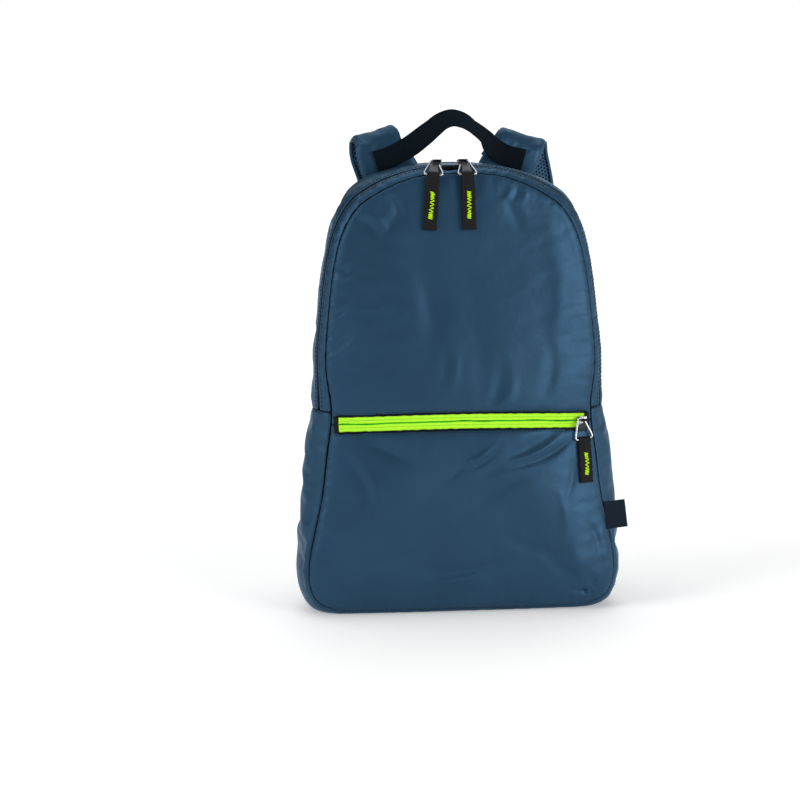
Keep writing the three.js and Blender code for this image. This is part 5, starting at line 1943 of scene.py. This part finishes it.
def slider_piece(name):
    """A coil-zip slider: tapered plate with side lips, an open bridge and a ridged cap."""
    half = SLIDER_LENGTH / 2
    plate = start_block((SLIDER_LENGTH, SLIDER_WIDTH, SLIDER_PLATE), (0, 0, SLIDER_PLATE / 2))
    taper(plate, lambda co: co.x < 0, (1, 0.72, 1))
    taper(plate, lambda co: co.z > SLIDER_PLATE / 2, (0.94, 0.9, 1))
    bevel_all(plate, 0.35, 3)
    parts = [plate]
    reach = half * ARCH_REACH
    for end in (-1, 1):
        post = start_block(
            (ARCH_POST, ARCH_WIDTH, ARCH_CLEAR + 0.8),
            (end * (reach - ARCH_POST / 2), 0, SLIDER_PLATE + ARCH_CLEAR / 2 - 0.1),
        )
        bevel_all(post, 0.3)
        parts.append(post)
    bar = start_block(
        (2 * reach, ARCH_WIDTH, ARCH_BAR), (0, 0, SLIDER_PLATE + ARCH_CLEAR + ARCH_BAR / 2)
    )
    taper(bar, lambda co: co.z > SLIDER_PLATE + ARCH_CLEAR + ARCH_BAR / 2, (0.84, 0.8, 1))
    bevel_all(bar, 0.3, 3)
    parts.append(bar)
    cap_foot = SLIDER_PLATE + ARCH_CLEAR + ARCH_BAR - 0.2
    cap = start_block((2 * reach * 0.92, ARCH_WIDTH * 1.2, 1.3), (0, 0, cap_foot + 0.65))
    taper(cap, lambda co: co.z > cap_foot + 0.65, (0.88, 0.82, 1))
    bevel_all(cap, 0.3)
    knobs = []
    for k in range(-2, 3):
        for across in (-0.55, 0.55):
            knob = start_block((0.85, 0.8, 1.0), (k * 1.45 + across * 0.5, across, cap_foot + 1.35))
            bevel_all(knob, 0.22)
            knobs.append(knob)
    dark = [cap, *knobs]
    for part in dark:
        part.data.materials.append(finish_of("knurl"))
    for lip in (-1, 1):
        rail = start_block((SLIDER_LENGTH * 0.8, 0.8, 0.9), (0.3, lip * SLIDER_WIDTH * 0.42, 0.35))
        bevel_all(rail, 0.2)
        parts.append(rail)
    for part in parts:
        part.data.materials.append(finish_of("slider"))
    piece = join_all(parts + dark, name)
    pick_only(piece)
    bpy.ops.object.shade_smooth_by_angle(angle=math.radians(40))
    return piece


RING_TOP = ARCH_WIDTH / 2 + FIT_GAP + RING_WIRE / 2
RING_HANGS = 2.6


def rounded_loop(corners, radius, steps=6):
    """A closed path through corners, each turned with an arc."""
    corners = np.asarray(corners, float)
    path = []
    for i, corner in enumerate(corners):
        before, after = corners[i - 1], corners[(i + 1) % len(corners)]
        cut_in = min(radius, np.linalg.norm(corner - before) * 0.45)
        cut_out = min(radius, np.linalg.norm(after - corner) * 0.45)
        a = corner + unit(before - corner) * cut_in
        b = corner + unit(after - corner) * cut_out
        for t in np.linspace(0, 1, steps):
            path.append((1 - t) ** 2 * a + 2 * t * (1 - t) * corner + t**2 * b)
    return np.array(path)


def ring_path(longer):
    half_top = RING_TOP_WIDTH / 2
    half_bar = PULL_WIDTH / 2 + FIT_GAP + RING_WIRE / 2
    low = RING_TOP - RING_LENGTH - longer
    corners = [
        (-half_top * 0.85, RING_TOP, 0),
        (half_top * 0.85, RING_TOP, 0),
        (half_top, RING_TOP - RING_CORNER, 0),
        (half_bar + RING_CORNER, low + RING_CORNER, 0),
        (half_bar, low, 0),
        (-half_bar, low, 0),
        (-half_bar - RING_CORNER, low + RING_CORNER, 0),
        (-half_top, RING_TOP - RING_CORNER, 0),
    ]
    return rounded_loop(corners, 2.2)


def pull_piece(name, length, basis):
    """Webbing folded round the ring's bar, its two layers lying together."""
    thick = 1.2
    eye = RING_WIRE / 2 + FIT_GAP + thick / 2
    lie = thick / 2 + 0.06
    down = np.linspace(-length, -4.4, 26)
    turns = np.radians(np.linspace(205, -25, 17))
    loop = pairs(eye * np.cos(turns), eye * np.sin(turns))
    bow = 0.35 * np.sin(np.linspace(0, math.pi, len(down)))
    back = pairs(np.full_like(down, -lie) - bow * 0.2, down)
    front = pairs(np.full_like(down, lie) + bow, down)[::-1]
    neck = np.array([(-lie * 1.15, -3.2), (-eye * 0.86, -1.9)])
    profile = even_line(np.vstack([back, neck, loop, neck[::-1] * (-1, 1), front]), 0.8)
    path = xyz(np.zeros(len(profile)), profile[:, 1], profile[:, 0])
    axes = placed_directions((1, 0, 0), basis)
    path, finish = placed(path, basis), finish_of("black_web")
    piece = ribbon(name, path, axes, PULL_WIDTH, thick, finish, 9, 0.12)
    frame, origin = basis
    local = (points_of(piece) - origin) @ frame
    wobble = 0.16 * ripple(local[:, 1], len(name), ((5, 1), (8.5, 1), (2.6, 0.5)))
    local[:, 0] *= 1 + wobble / PULL_WIDTH * 2 - 0.06 * smoothstep(local[:, 1], -14, 0)
    move_points(piece, local @ frame.T + origin)
    return piece


def placed_directions(direction, basis):
    return np.asarray(direction, float) @ basis[0].T


def zigzag(length, basis, name):
    """A satin zigzag in bright thread down the front and the back of a pull."""
    start, end = -0.3 * length, -0.8 * length
    parts = []
    for lift, side in ((PULL_THICKNESS / 2 + 0.5, 1), (-PULL_THICKNESS / 2 - 0.1, -1)):
        gaps = []
        while sum(gaps) < start - end:
            done = sum(gaps) / (start - end)
            gaps.append(lerp(0.75, 1.75, bell(done - 0.5, 0.27, 4)))
        y = start - np.cumsum(gaps)
        count = len(y)
        draw = np.random.default_rng(len(name) + side)
        wide = np.where(np.arange(count) % 2 == 0, -2.1, 2.1) + draw.normal(0, 0.24, count)
        wide += 0.5 * np.sin(np.linspace(0.4, 3.6, count))
        bow = 0.35 * np.sin(np.linspace(0, math.pi, count)) if side > 0 else 0
        points = xyz(wide, y, np.full(count, lift) + bow * 0.6)
        points = placed(points, basis)
        normals = np.broadcast_to(placed_directions((0, 0, side), basis), points.shape)
        parts.append(capsules(points[:-1], points[1:], normals[:-1], 0.46))
    return new_piece(name, *gather(parts), finish_of("bright_thread"))


def puller_web(length, share, finish):
    """The pressed plate between the legs of a puller, over a share of its length."""
    start, end = RING_TOP - length * share[0], RING_TOP - length * share[1]
    plate = start_block((9.4, start - end, 1.0), (0, (start + end) / 2, 0.1))
    taper(plate, lambda co: co.y > (start + end) / 2, (0.8, 1, 1))
    bevel_all(plate, 0.35, 3)
    groove = start_block((7.4, 0.9, 1.5), (0, end + 1.5, 0.1))
    bevel_all(groove, 0.3)
    for part in (plate, groove):
        part.data.materials.append(finish)
    return join_all([plate, groove], "puller_web")


# Lean in degrees, extra ring length, how freely the pull hangs, and the puller's plate
MAIN_LOOKS = (48, RING_HANGS, 0, (0.34, 0.84), "pressed")
POCKET_LOOKS = (0, 0, 1, (0.3, 0.6), "knurl")
MAIN_PULL_CUT = 1.6
POCKET_SEAT_RIGHT = 2.2
POCKET_RING_SWING = 2.4
POCKET_PULL_SWING = 4.2


def make_slider_set(name, seat, normal, along, ring_to, hang_points, pull_length, looks):
    """A slider, its wire ring and its pull; looks is one of the rows above."""
    ring_down, pull_down = hang_points
    lean, longer, free, web, web_finish = looks
    base = seat + normal * SLIDER_RIDE
    across = np.cross(normal, along)
    body = slider_piece(f"{name}_slider_body")
    inside = SLIDER_PLATE + ARCH_CLEAR * RING_SITS
    turn = math.radians(lean)
    tilted = normal * math.cos(turn) - across * math.sin(turn)
    tilted_across = across * math.cos(turn) + normal * math.sin(turn)
    leaning = base + normal * inside - tilted * inside
    put_in_place(body, basis_of(leaning, along, tilted_across))
    finish_piece(body, "steel", f"{name}_slider")
    post_out = SLIDER_LENGTH / 2 * ARCH_REACH
    ring_side = post_out + RING_WIRE / 2 + FIT_GAP - RING_TOP_WIDTH / 2
    pivot = base + normal * inside + along * (ring_to * ring_side)
    hang = unit(ring_down - pivot)
    bar_axis = unit(along - hang * np.dot(along, hang))
    ring_basis = basis_of(pivot, bar_axis, -hang)
    wire = tube(
        f"{name}_wire_ring",
        placed(ring_path(longer), ring_basis),
        RING_WIRE * 0.8,
        finish_of("wire"),
        12,
        True,
        ring_basis[0][:, 2],
    )
    plate = puller_web(RING_LENGTH + longer, web, finish_of(web_finish))
    put_in_place(plate, ring_basis)
    wire = join_all([wire, plate], f"{name}_wire_ring")
    finish_piece(wire, "steel", f"{name}_ring")
    bar = pivot + hang * (RING_LENGTH + longer - RING_TOP)
    drop = pull_down - bar
    drop = unit(drop - bar_axis * np.dot(drop, bar_axis) * (1 - free))
    basis = basis_of(bar, unit(bar_axis - drop * np.dot(drop, bar_axis)), -drop)
    pull = pull_piece(f"{name}_pull_webbing", pull_length, basis)
    finish_piece(pull, "black_webbing", f"{name}_pull")
    stitch = zigzag(pull_length, basis, f"{name}_pull_stitch")
    finish_piece(stitch, "green_tape")


def make_sliders():
    for name, place, ring_to in (
        ("main_zip_right", RIGHT_SLIDER, 1),
        ("main_zip_left", LEFT_SLIDER, -1),
    ):
        across = across_of(place, ZIP_SETBACK)
        seat = gusset_point(place, across).reshape(3)
        normal = gusset_normal(place, across).reshape(3)
        edge = front_seam(place)[0]
        ring_down = np.array([seat[0] + ring_to * RING_SPLAY - 1.2, edge[1] - 5.2, edge[2] - 1.2])
        low_z = edge[2] - MAIN_PULL
        low_y = front_y(np.array([seat[0]]), np.array([low_z]))[0]
        pull_down = np.array([seat[0] - 1.4, low_y - PULL_THICKNESS / 2 - 2.6, low_z])
        along = np.array([1.0, 0, 0])
        hang_points, length = (ring_down, pull_down), MAIN_PULL - MAIN_PULL_CUT
        make_slider_set(name, seat, normal, along, ring_to, hang_points, length, MAIN_LOOKS)
    x = TAPE_HALF - SLIDER_LENGTH / 2 + POCKET_SEAT_RIGHT

    def on_front(at_x, at_z):
        return np.array([at_x, front_y(np.array([at_x]), np.array([at_z]))[0], at_z])

    level = float(zip_level(x))
    seat = on_front(x, level)
    normal = sheet_normal(front_y, np.array([x]), np.array([level]), -1)[0]
    along = unit(np.array([-normal[1], normal[0], 0]))
    below = on_front(x + POCKET_RING_SWING, level - RING_LENGTH)
    far = on_front(x + POCKET_PULL_SWING, level - POCKET_PULL - RING_LENGTH)
    ring_down = below - np.array([0, 3.2, 0])
    pull_down = far - np.array([0, PULL_THICKNESS / 2 + 1.4, 0])
    hang_points = (ring_down, pull_down)
    make_slider_set("pocket_zip", seat, normal, along, -1, hang_points, POCKET_PULL, POCKET_LOOKS)


# Adjusters


def buckle_piece(name):
    """A ladder buckle: plate with two slots, rounded bars and a lifted finger edge."""
    pick_none()
    bpy.ops.mesh.primitive_plane_add(size=1, location=(0, 0, 0))
    plate = bpy.context.object
    plate.name = name
    half_w, half_h = BUCKLE_WIDTH / 2, BUCKLE_HEIGHT / 2
    plate.data.transform(Matrix.Diagonal(Vector((BUCKLE_WIDTH, BUCKLE_HEIGHT, 1)) * MM).to_4x4())
    slot_half = WEB_WIDTH / 2 + 0.8
    levels = [
        half_h - BUCKLE_BAR,
        half_h - BUCKLE_BAR - LOOP_SLOT,
        half_h - 2 * BUCKLE_BAR - LOOP_SLOT,
        -half_h + BUCKLE_BAR,
    ]

    def cut(_):
        for x in (-slot_half, slot_half):
            bpy.ops.mesh.select_all(action="SELECT")
            bpy.ops.mesh.bisect(plane_co=(x * MM, 0, 0), plane_no=(1, 0, 0))
        for y in levels:
            bpy.ops.mesh.select_all(action="SELECT")
            bpy.ops.mesh.bisect(plane_co=(0, y * MM, 0), plane_no=(0, 1, 0))

    edit(plate, cut)

    def open_slots(mesh):
        for face in mesh.faces:
            spot = face.calc_center_median() / MM
            in_slot = levels[1] < spot.y < levels[0] or levels[3] < spot.y < levels[2]
            face.select = abs(spot.x) < slot_half and in_slot
        bpy.ops.mesh.delete(type="FACE")

    edit(plate, open_slots)

    def raise_plate(_):
        bpy.ops.mesh.select_all(action="SELECT")
        bpy.ops.mesh.extrude_region_move(
            TRANSFORM_OT_translate={"value": (0, 0, BUCKLE_THICKNESS * 0.8 * MM)}
        )
        bpy.ops.mesh.select_all(action="SELECT")
        bpy.ops.mesh.normals_make_consistent(inside=False)

    edit(plate, raise_plate)

    def shape(mesh):
        for vert in mesh.verts:
            vert.co.z -= BUCKLE_THICKNESS * 0.4 * MM
            if vert.co.y < (-half_h + 0.1) * MM:
                vert.co.z += 0.5 * MM
            if abs(vert.co.x) > (half_w - 0.1) * MM and abs(vert.co.y) > (half_h - 0.1) * MM:
                vert.co.x *= 0.93
        for edge in mesh.edges:
            edge.select = edge.calc_face_angle(0) > math.radians(40)
        bpy.ops.mesh.bevel(offset=0.9 * MM, segments=3, affect="EDGES")

    edit(plate, shape)
    plate.data.materials.append(finish_of("plastic"))
    pick_only(plate)
    bpy.ops.object.shade_smooth_by_angle(angle=math.radians(35))
    return plate


def profile_ribbon(name, profile, basis, width, finish, ribs=15):
    path = np.array(profile, float)
    path = Curve(xyz(np.zeros(len(path)), path[:, 0], path[:, 1]))
    share, _ = even_shares(path, 0, 1, 1.9)
    points = placed(path.at(share), basis)
    axes = placed_directions((1, 0, 0), basis)
    return ribbon(name, points, axes, width, WEB_THICKNESS - 0.1, finish_of(finish), ribs, 0.12)


def arc_spots(centre_z, radius, start, end, steps):
    turns = np.radians(np.linspace(start, end, steps + 1))[1:-1]
    return [(radius * math.cos(t), centre_z + radius * math.sin(t)) for t in turns]


def make_adjusters():
    for side, label in ((1, "right"), (-1, "left")):
        curve = strap_curve(side)
        centre, run, _, out = (a[0] for a in strap_frames(curve, side, np.array([1.0])))
        wrap = (BUCKLE_BAR + WEB_THICKNESS) / 2 + FIT_GAP + BAR_CORNER
        top_bar = (BUCKLE_HEIGHT - BUCKLE_BAR) / 2
        drop = top_bar + wrap + LOOP_LEG
        origin = centre + run * drop
        basis = basis_of(origin, np.cross(out, -run), out)
        flat_basis = (np.stack([basis[0][:, 0], basis[0][:, 2], -basis[0][:, 1]], axis=1), origin)
        buckle = buckle_piece(f"ladder_buckle_{label}")
        put_in_place(buckle, flat_basis)
        finish_piece(buckle, "black_plastic", f"buckle_{label}")
        loop_end = drop - FIT_GAP
        loop = [(BAR_CORNER - wrap, loop_end), (-wrap, top_bar + 1)]
        loop += arc_spots(top_bar, wrap, 180, 360, 8)
        loop += [(wrap, top_bar + 1), (wrap - BAR_CORNER, loop_end)]
        piece = profile_ribbon(f"buckle_loop_{label}_webbing", loop, basis, WEB_WIDTH, "black_web")
        finish_piece(piece, "black_webbing", f"buckle_loop_{label}")
        mid_bar = top_bar - BUCKLE_BAR - LOOP_SLOT
        low = -BUCKLE_HEIGHT / 2

        def anchor(z):
            y = back_y(np.array([origin[0]]), np.array([z]))[0] + WEB_THICKNESS / 2 + FIT_GAP
            local = (np.array([origin[0], y, z]) - origin) @ basis[0]
            return (local[1], local[2])

        anchor_low, anchor_high = anchor(WEB_ANCHOR_UP), anchor(WEB_ANCHOR_UP + WEB_SEWN)
        web = [
            anchor_low,
            anchor_high,
            (lerp(anchor_high[0], -wrap, 0.75), lerp(anchor_high[1], low, 0.6)),
            (-wrap - FIT_GAP, low - 4),
            (-wrap, mid_bar - 1),
        ]
        web += arc_spots(mid_bar, wrap, 180, 0, 8)
        web += [
            (wrap, mid_bar - 1),
            (wrap + FIT_GAP, low - 4),
            (wrap + 4, low - TAIL_LENGTH / 2),
            (wrap + 2, low - TAIL_LENGTH),
        ]
        piece = profile_ribbon(f"lower_webbing_{label}", web, basis, WEB_WIDTH, "black_web")
        finish_piece(piece, "black_webbing", f"webbing_{label}")


# Side tag


def make_tag():
    def seam_at(z):
        x = front_seam(front_place_at(z))[0, 0]
        return np.array([x, front_plane(z), z])

    seat = seam_at(TAG_UP)
    up = unit(seam_at(TAG_UP + TAG_HEIGHT / 2) - seam_at(TAG_UP - TAG_HEIGHT / 2))
    out = np.array([1, -0.12, 0])
    out = unit(out - up * np.dot(out, up))
    up, out = up + out * TAG_TURN, out - up * TAG_TURN
    up, out = unit(up), unit(out)
    centre = seat + out * (TAG_WIDTH / 2 + FIT_GAP) + np.array([0, -TAG_THICKNESS, 0])
    basis = basis_of(centre, out, np.cross(up, out))
    half = TAG_WIDTH / 2
    layer = 0.4
    turns = np.radians(np.linspace(90, -90, 9))
    fold = pairs(half - 0.5 + 0.3 * np.cos(turns), 0.27 * np.sin(turns))
    run = np.linspace(-half - 1.4, half - 0.6, 16)
    wave = 0.18 * np.sin(np.linspace(0, 2.6, 16))
    front = pairs(run, 0.27 + wave)
    back = pairs(run, -0.27 + wave)[::-1]
    profile = even_line(np.vstack([front, fold + (0, wave[-1]), back]), 0.5)
    path = xyz(profile[:, 0], profile[:, 1], np.zeros(len(profile)))
    axes = placed_directions((0, 0, 1), basis)
    path, finish = placed(path, basis), finish_of("label")
    piece = ribbon("bare_side_label", path, axes, TAG_HEIGHT, layer, finish, 8, 0)
    finish_piece(piece, "navy_webbing", "side_tag")


# Stage

# Name, direction that the light comes from, angular width in degrees, share of full light
STUDIO_LIGHTS = (
    ("key", (0.7, -0.7, 0.14), 36, 0.72),
    ("right_side", (1.0, -0.1, 0.3), 34, 0.12),
    ("left_side", (-0.88, -0.36, 0.45), 34, 0.42),
    ("overhead", (-0.1, 0.3, 1.0), 60, 0.42),
    ("behind", (0.35, 0.85, 0.5), 60, 0.2),
)


def make_stage_set(looks):
    """A white floor under broad, even lights, so that the floor runs into a white distance."""
    far = 60000
    corners = [(-far, -far, 0), (far, -far, 0), (far, far, 0), (-far, far, 0)]
    floor = new_piece("studio_floor", corners, [(0, 1, 2, 3)], finish_of("floor"), None, False)
    world = bpy.data.worlds.new("soft_studio")
    bpy.context.scene.world = world
    world.use_nodes = True
    nodes, links = world.node_tree.nodes, world.node_tree.links
    backdrop = nodes["Background"]
    where = nodes.new("ShaderNodeTexCoord")
    split = nodes.new("ShaderNodeSeparateXYZ")
    height = nodes.new("ShaderNodeMapRange")
    links.new(where.outputs["Generated"], split.inputs[0])
    links.new(split.outputs[2], height.inputs["Value"])
    height.inputs["From Min"].default_value = 0.04
    height.inputs["From Max"].default_value = 0.14
    height.inputs["To Min"].default_value = 1.0
    height.inputs["To Max"].default_value = looks.surround
    links.new(height.outputs[0], backdrop.inputs["Strength"])
    backdrop.inputs["Color"].default_value = (1, 1, 1, 1)
    for name, source, angle, share in STUDIO_LIGHTS:
        data = bpy.data.lights.new(name, "SUN")
        data.angle = math.radians(angle)
        data.energy = math.pi * share * looks.light_power
        lamp = bpy.data.objects.new(name, data)
        lamp.rotation_mode = "QUATERNION"
        lamp.rotation_quaternion = Vector(source).to_track_quat("Z", "Y")
        bpy.context.scene.collection.objects.link(lamp)
    bpy.context.scene.view_settings.view_transform = "Standard"


PICTURE_SIDE = 800


def make_camera(looks):
    """The photograph's camera: the aimed point lies off the middle, so the lens is shifted."""
    turn, rise = looks.camera_azimuth, looks.camera_elevation
    back = Vector(
        (math.sin(turn) * math.cos(rise), -math.cos(turn) * math.cos(rise), math.sin(rise))
    )
    aim = Vector((0, 0, looks.aim_height))
    data = bpy.data.cameras.new("photo_camera")
    data.sensor_width = 36.0
    data.lens = looks.camera_lens
    data.shift_x = 0.5 - looks.aim_right / PICTURE_SIDE
    data.shift_y = looks.aim_down / PICTURE_SIDE - 0.5
    data.clip_start, data.clip_end = 0.05, 50
    camera = bpy.data.objects.new("photo_camera", data)
    camera.location = aim + back * looks.camera_distance
    camera.rotation_mode = "QUATERNION"
    camera.rotation_quaternion = (-back).to_track_quat("-Z", "Y")
    bpy.context.scene.collection.objects.link(camera)
    bpy.context.scene.camera = camera


# Settings, operators and panel


def colour_setting(name, description, default):
    return bpy.props.FloatVectorProperty(
        name=name, description=description, default=default, size=4, subtype="COLOR", min=0, max=1
    )


class DaypackLooks(bpy.types.PropertyGroup):
    """Colours of the daypack's cloth, webbing and thread."""

    nylon_colour: colour_setting("Nylon", "Colour of the shell cloth", linear(39, 67, 90))
    handle_colour: colour_setting("Handle", "Colour of the grab handle", linear(5, 18, 28))
    pull_colour: colour_setting("Pulls", "Colour of the black webbing", linear(30, 30, 32))
    tape_colour: colour_setting("Zip tape", "Colour of the pocket zip tape", linear(168, 232, 48))
    thread_colour: colour_setting("Thread", "Colour of the zigzag thread", linear(180, 226, 8))


def number_setting(name, description, default, **options):
    return bpy.props.FloatProperty(name=name, description=description, default=default, **options)


TURN = {"subtype": "ANGLE"}
METRES = {"unit": "LENGTH"}


class StageLooks(bpy.types.PropertyGroup):
    """Camera and light of the studio."""

    camera_distance: number_setting("Distance", "Camera to bag", 2.2, **METRES)
    camera_lens: number_setting("Lens", "Focal length in millimetres", 101.75)
    camera_azimuth: number_setting("Azimuth", "Camera turn", math.radians(-7), **TURN)
    camera_elevation: number_setting("Elevation", "Camera height", math.radians(8), **TURN)
    aim_height: number_setting("Aim", "Height that the camera aims at", 0.225, **METRES)
    aim_right: number_setting("Aim across", "Column of the picture that the aim falls on", 455)
    aim_down: number_setting("Aim down", "Row of the picture that the aim falls on", 372)
    surround: number_setting("Surround", "Brightness of the sky over the studio", 0.12)
    light_power: number_setting("Lights", "Strength of all softboxes", 1.0)


def builder(name, label, description, *steps):
    """An operator class that runs the steps one after another."""

    def execute(self, context):
        for step in steps:
            step()
        return {"FINISHED"}

    members = {
        "__doc__": description,
        "bl_idname": f"daypack.{name}",
        "bl_label": label,
        "bl_options": {"REGISTER", "UNDO"},
        "execute": execute,
    }
    return type(f"DAYPACK_OT_{name}", (bpy.types.Operator,), members)


def make_finishes():
    mix_finishes(bpy.context.scene.daypack_looks)


def make_fronts():
    make_front(True, "front_cloth", "front_panel", 61, 0.006, 1.0)
    make_front(False, "pocket_cloth", "pocket_panel", 62, 0.009, 1.0)


def make_studio():
    looks = bpy.context.scene.daypack_stage
    make_stage_set(looks)
    make_camera(looks)


OPERATORS = (
    builder("finishes", "Materials", "Makes every material of the daypack", make_finishes),
    builder("front", "Front and pocket", "Builds the front panel and the pocket", make_fronts),
    builder(
        "gusset",
        "Gusset",
        "Builds the zip band and the gusset strips",
        make_band,
        make_upper_gusset,
        make_lower_gusset,
    ),
    builder("back", "Back panel", "Builds the back and the seam tapes", make_back, make_seam_tapes),
    builder(
        "zips",
        "Zips",
        "Builds the zips, their tapes and their stitching",
        make_main_zip,
        make_pocket_tape,
        make_pocket_shade_strips,
        make_pocket_ends,
        stitch_zip_edges,
        stitch_pocket_edges,
    ),
    builder("sliders", "Sliders and pulls", "Builds the sliders, rings and pulls", make_sliders),
    builder("handle", "Grab handle", "Builds the grab handle", make_handle),
    builder("straps", "Shoulder straps", "Builds the padded straps", make_straps),
    builder("adjusters", "Adjusters", "Builds the buckles and webbing", make_adjusters),
    builder("tag", "Side tag", "Builds the bare side tag", make_tag),
    builder("stage", "Studio", "Builds the floor, lights and camera", make_studio),
)


class DAYPACK_PT_panel(bpy.types.Panel):
    """Sidebar panel that lists the daypack's settings and builders."""

    bl_label = "Daypack"
    bl_idname = "DAYPACK_PT_panel"
    bl_space_type = "VIEW_3D"
    bl_region_type = "UI"
    bl_category = "Daypack"

    def draw(self, context):
        column = self.layout.column()
        for group in (context.scene.daypack_looks, context.scene.daypack_stage):
            for name in group.__annotations__:
                column.prop(group, name)
        for operator in OPERATORS:
            column.operator(operator.bl_idname)


CLASSES = (DaypackLooks, StageLooks, *OPERATORS, DAYPACK_PT_panel)


def register():
    for cls in CLASSES:
        bpy.utils.register_class(cls)
    bpy.types.Scene.daypack_looks = bpy.props.PointerProperty(type=DaypackLooks)
    bpy.types.Scene.daypack_stage = bpy.props.PointerProperty(type=StageLooks)


def unregister():
    del bpy.types.Scene.daypack_stage
    del bpy.types.Scene.daypack_looks
    for cls in reversed(CLASSES):
        bpy.utils.unregister_class(cls)


def main():
    register()
    for operator in OPERATORS:
        getattr(bpy.ops.daypack, operator.bl_idname.split(".")[1])()
    bpy.context.view_layer.update()


if __name__ == "__main__":
    main()
